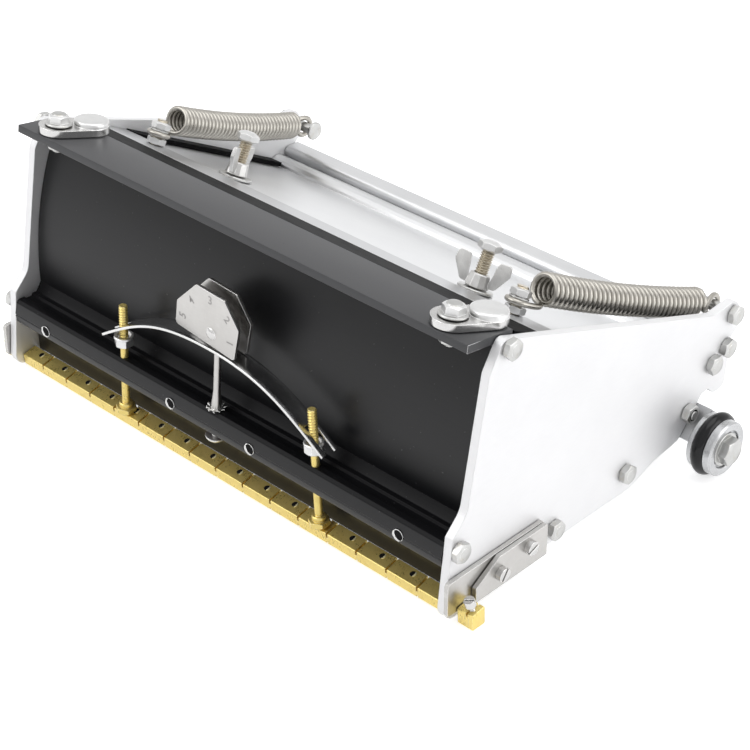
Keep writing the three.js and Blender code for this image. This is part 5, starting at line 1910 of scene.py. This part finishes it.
    def toothed(self) -> Mesh:
        """Toothed lock washer at the foot of the post.

        Returns:
            Its mesh.
        """
        steps, inner, thick = 4 * self.teeth, 1.5, 0.35
        sections = []
        for k in range(steps):
            turn = math.tau * k / steps
            out, wave = (3.3, 0.55) if k % 4 in (1, 2) else (2.3, 0.15)
            tilt = wave if k % 4 == 1 else wave * 0.3
            sections.append([polar(inner, turn, SEAT), polar(out, turn, SEAT + tilt),
                             polar(out, turn, SEAT + thick + tilt), polar(inner, turn, SEAT + thick)])
        return belt(sections)

    def dial(self) -> None:
        """Build the cam dial: two sheet cheeks, a riveted pin and the stamped numbers."""
        centre = joint_place("dial_turn")
        place = seated(centre, FORWARD, AXIS_X)
        piece = Piece("cam.dial", Look.SHEET, place)
        wide = self.dial_width / 2
        outline = rounded(self.cam, 5)
        piece.add(slab(outline, -wide, -wide + self.dial_plate, 0.18, 2))
        piece.add(slab(outline, wide - self.dial_plate, wide, 0.18, 2))
        piece.add(turned(pill(0.95, -wide, wide)), look=Look.POLISHED)
        dome = raised(self.dial_dome, wide)
        piece.add(turned(dome, 36), look=Look.POLISHED)
        piece.add(turned([(r, -h) for r, h in dome], 36), look=Look.POLISHED)
        piece.build("dial", ("crown_dial",))
        for number, (first, last) in zip(self.numbered, self.sides_of_cam()):
            self.digit(str(number), first, last, place, wide)

    def sides_of_cam(self) -> list[tuple[Vector, Vector]]:
        """The five straight sides that carry a number, in order."""
        return [(Vector(self.cam[i][:2]), Vector(self.cam[(i + 1) % 6][:2])) for i in range(1, 6)]

    def digit(self, text: str, first: Vector, last: Vector, place: Matrix, face: float) -> None:
        """Build one stamped number beside a side of the cam.

        Args:
            text: The number.
            first: One end of the side.
            last: Its other end.
            place: Frame of the dial.
            face: Height of the front cheek's face.
        """
        curve = bpy.data.curves.new(f"digit_{text}", "FONT")
        curve.body = text
        curve.size = self.digit_size
        curve.align_x, curve.align_y = "CENTER", "CENTER"
        curve.offset = 0.02
        drawn = linked(f"digit_curve_{text}", curve)
        bpy.context.view_layer.update()
        flat = bpy.data.meshes.new_from_object(drawn.evaluated_get(bpy.context.evaluated_depsgraph_get()))
        bpy.data.objects.remove(drawn)
        middle = (first + last) / 2
        out = middle.normalized()
        spot = middle - out * self.digit_inset
        turn = math.atan2(out.y, out.x) - math.pi / 2
        where = Matrix.Translation((spot.x, spot.y, face + 0.03)) @ Matrix.Rotation(turn, 4, "Z")
        piece = Piece(f"number_{text}", Look.DIGIT, place)
        piece.add(([v.co.copy() for v in flat.vertices], [tuple(p.vertices) for p in flat.polygons]), where)
        piece.build("dial")


@dataclass
class Wheels:
    """The two wheels, with their rings and bolts."""

    width: float = 9.5
    flange: float = 9.5
    tyre: float = 2.4
    tyre_at: float = 4.2
    recess: float = 1.2
    recess_radius: float = 6.6
    flats: float = 8.4
    head: float = 3.2
    washer: Pair = (5.9, 0.6)
    bolt_shank: float = 2.2
    inner_face: float = 109.0
    steps: int = 96

    def build(self) -> None:
        """Build both wheels and their bolts."""
        for name, side in SIDES:
            centre = node_middle(f"wheel_tyre_{name}")
            origin = Vector((side * self.inner_face, centre.y, centre.z))
            place = seated(origin, Vector((side, 0, 0)), AXIS_Z)
            ring_radius = centre.z - self.tyre
            self.hub(name, place, ring_radius)
            self.ring(name, place, ring_radius)
            self.bolt(name, side, origin)

    def hub(self, name: str, place: Matrix, ring_radius: float) -> None:
        """Build a turned hub with the groove for its ring.

        Args:
            name: left or right.
            place: Frame of the wheel.
            ring_radius: From the axle to the middle of the ring's section.
        """
        groove = self.tyre + 0.15
        opening = math.acos((self.flange - ring_radius) / groove)
        profile = [(2.4, 0.2), (2.6, 0), (self.flange - 0.4, 0), (self.flange, 0.4)]
        for i in range(15):
            t = opening + (math.tau - 2 * opening) * i / 14
            profile.append((ring_radius + groove * math.cos(t), self.tyre_at - groove * math.sin(t)))
        floor = self.width - self.recess
        inner = self.recess_radius
        profile += [(self.flange, self.width - 0.5), (self.flange - 0.5, self.width), (inner + 0.25, self.width),
                    (inner, self.width - 0.25), (inner, floor + 0.2), (inner - 0.2, floor), (2.4, floor)]
        piece = Piece(f"hub.{name}", Look.WHEEL, place)
        piece.add(turned(profile, self.steps, closed=True))
        piece.build(f"wheel_{name}", (f"wheel_hub_{name}",), crease=25)

    def ring(self, name: str, place: Matrix, ring_radius: float) -> None:
        """Build the rubber ring with its faint moulding seam.

        Args:
            name: left or right.
            place: Frame of the wheel.
            ring_radius: From the axle to the middle of the ring's section.
        """
        profile = []
        for i in range(28):
            t = math.tau * i / 28
            proud = 0.04 if i == 0 else 0.0
            profile.append((ring_radius + (self.tyre + proud) * math.cos(t), self.tyre_at + self.tyre * math.sin(t)))
        piece = Piece(f"ring.{name}", Look.RING, place)
        piece.add(turned(profile, self.steps, closed=True))
        piece.build(f"wheel_{name}", (f"wheel_tyre_{name}",), crease=80)

    def bolt(self, name: str, side: int, origin: Vector) -> None:
        """Build a wheel's bolt with its washer.

        Args:
            name: left or right.
            side: -1 on the left, 1 on the right.
            origin: Middle of the wheel's inner face.
        """
        node = f"wheel_bolt_{name}"
        axis = Vector((side, 0, 0))
        seat = self.width - self.recess + SEAT
        start = origin + axis * seat
        toward = corner_direction(node, start, axis, self.washer[1] + 0.5)
        piece = Piece(f"bolt.{node}", Look.ZINC, seated(start, axis, toward))
        radius, thick = self.washer
        washer = [(0, 0), (radius - 0.1, 0), (radius, 0.12), (radius, thick - 0.15), (radius - 0.2, thick), (0, thick)]
        piece.add(turned(washer, 56))
        piece.add(hexagonal(self.flats, thick, thick + self.head))
        piece.add(turned(pill(self.bolt_shank, -seat - 8.4, 0)))
        piece.build("frame", (node,))


@dataclass
class Studio:
    """Camera at the photograph's angle, soft lamps, pale floor and white surround."""

    focal_pixels: float = 2072.13
    picture: float = 750.0
    azimuth: float = 43.827
    elevation: float = 32.872
    position: Triple = (416.256, -358.915, 393.978)
    sensor: float = 36.0
    lamps: tuple[tuple[str, Triple, Triple, float, float], ...] = (
        ("lamp_left", (-0.55, -0.75, 0.85), (0.0, 0.0, 0.03), 0.9, 4.9),
        ("lamp_top", (0.15, 0.25, 1.15), (0.0, 0.0, 0.0), 1.0, 4.6),
        ("lamp_right", (1.05, 0.45, 0.35), (0.05, 0.0, 0.04), 0.8, 3.8),
    )
    floor_half: float = 3.0
    floor_drop: float = 0.0002
    floor_glow: float = 0.64
    floor_cell: Triple = (40.0, 40.0, 40.0)
    floor_greys: tuple[Triple, Triple] = ((0.86, 0.86, 0.86), (0.90, 0.90, 0.90))
    surround: tuple[tuple[float, Triple], ...] = (
        (0.0, (0.30, 0.30, 0.31)), (0.5, (0.42, 0.42, 0.43)), (0.58, (0.62, 0.62, 0.63)),
        (0.7, (0.70, 0.70, 0.71)), (0.85, (0.45, 0.45, 0.46)), (1.0, (0.60, 0.60, 0.61)),
    )

    def build(self) -> None:
        """Set up the studio."""
        self.camera()
        self.floor()
        self.world()
        for lamp in self.lamps:
            self.lamp(*lamp)
        bpy.context.scene.view_settings.view_transform = "Standard"

    def camera(self) -> None:
        """Place the camera."""
        turn, rise = math.radians(self.azimuth), math.radians(self.elevation)
        back = Vector((math.sin(turn) * math.cos(rise), -math.cos(turn) * math.cos(rise), math.sin(rise)))
        right = Vector((math.cos(turn), math.sin(turn), 0))
        up = back.cross(right)
        data = bpy.data.cameras.new("camera")
        data.sensor_width = self.sensor
        data.sensor_fit = "HORIZONTAL"
        data.lens = self.focal_pixels * self.sensor / self.picture
        data.clip_start, data.clip_end = 0.01, 50
        made = linked("camera", data)
        spot = Vector(self.position) + Vector((0, DRAWN, 0))
        made.matrix_world = Matrix.Translation(spot * MM) @ Matrix((right, up, back)).transposed().to_4x4()
        bpy.context.scene.camera = made

    def floor(self) -> None:
        """Lay the pale floor, which keeps the shadow."""
        mesh = bpy.data.meshes.new("floor")
        half = self.floor_half
        corners = [(x * half, y * half, -self.floor_drop) for x, y in ((-1, -1), (1, -1), (1, 1), (-1, 1))]
        mesh.from_pydata(corners, [], [(0, 1, 2, 3)])
        material = bpy.data.materials.new("pale_floor")
        sheet = NodeSheet(material)
        colour = sheet.mixed(sheet.noise(sheet.place(), self.floor_cell, 2.0), *self.floor_greys)
        shade = sheet.node("ShaderNodeBsdfDiffuse", {}, {"Color": colour})
        glow = sheet.node("ShaderNodeEmission", {}, {"Color": (1, 1, 1, 1), "Strength": self.floor_glow})
        lit = sheet.node("ShaderNodeAddShader", {}, {0: shade, 1: glow})
        surface = sheet.node("ShaderNodeMixShader", {}, {0: sheet.seen(), 1: shade, 2: lit})
        sheet.node("ShaderNodeOutputMaterial", {}, {"Surface": surface})
        mesh.materials.append(material)
        linked("floor", mesh)

    def world(self) -> None:
        """Give the surround a bright rear and a darker front, and plain white where it is seen."""
        world = bpy.data.worlds.new("surround")
        bpy.context.scene.world = world
        sheet = NodeSheet(world)
        spot = sheet.node("ShaderNodeTexCoord", output="Generated")
        parts = sheet.node("ShaderNodeSeparateXYZ", {}, {0: spot})
        x, y, z = parts, parts.output(1), parts.output(2)
        ramp = sheet.node("ShaderNodeValToRGB", {"stops": self.surround}, {0: z * 0.5 + 0.5})
        front = (x * 0.69 - y * 0.72).between(0.0, 0.7)
        rear = (x * -0.62 + y * 0.78).between(0.55, 0.95)
        power = 0.85 - front * 0.5 + rear * 1.2
        around = sheet.node("ShaderNodeBackground", {}, {"Color": ramp, "Strength": power})
        white = sheet.node("ShaderNodeBackground", {}, {"Color": (1, 1, 1, 1), "Strength": 1.0})
        surface = sheet.node("ShaderNodeMixShader", {}, {0: sheet.seen(), 1: around, 2: white})
        sheet.node("ShaderNodeOutputWorld", {}, {"Surface": surface})

    def lamp(self, name: str, place: Triple, aim: Triple, size: float, power: float) -> None:
        """Hang one soft lamp.

        Args:
            name: Its name.
            place: Where it hangs, in metres.
            aim: What it points at, in metres.
            size: Its width, in metres.
            power: Its power, in watts.
        """
        data = bpy.data.lights.new(name, "AREA")
        data.shape = "SQUARE"
        data.size = size
        data.energy = power
        made = linked(name, data)
        made.location = place
        made.rotation_euler = (Vector(place) - Vector(aim)).to_track_quat("Z", "Y").to_euler()


def main() -> None:
    """Build the box piece by piece."""
    logging.basicConfig(level=logging.INFO, format="%(name)s: %(message)s")
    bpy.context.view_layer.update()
    plate = PressurePlate()
    for assembly in (
        SidePlates(), BoxBody(), plate, ReturnSprings(plate), Latches(), BladeAndHolder(), CrownAdjuster(), Wheels(),
        Studio(),
    ):
        LOG.info("building %s", type(assembly).__name__)
        assembly.build()


if __name__ == "__main__":
    main()
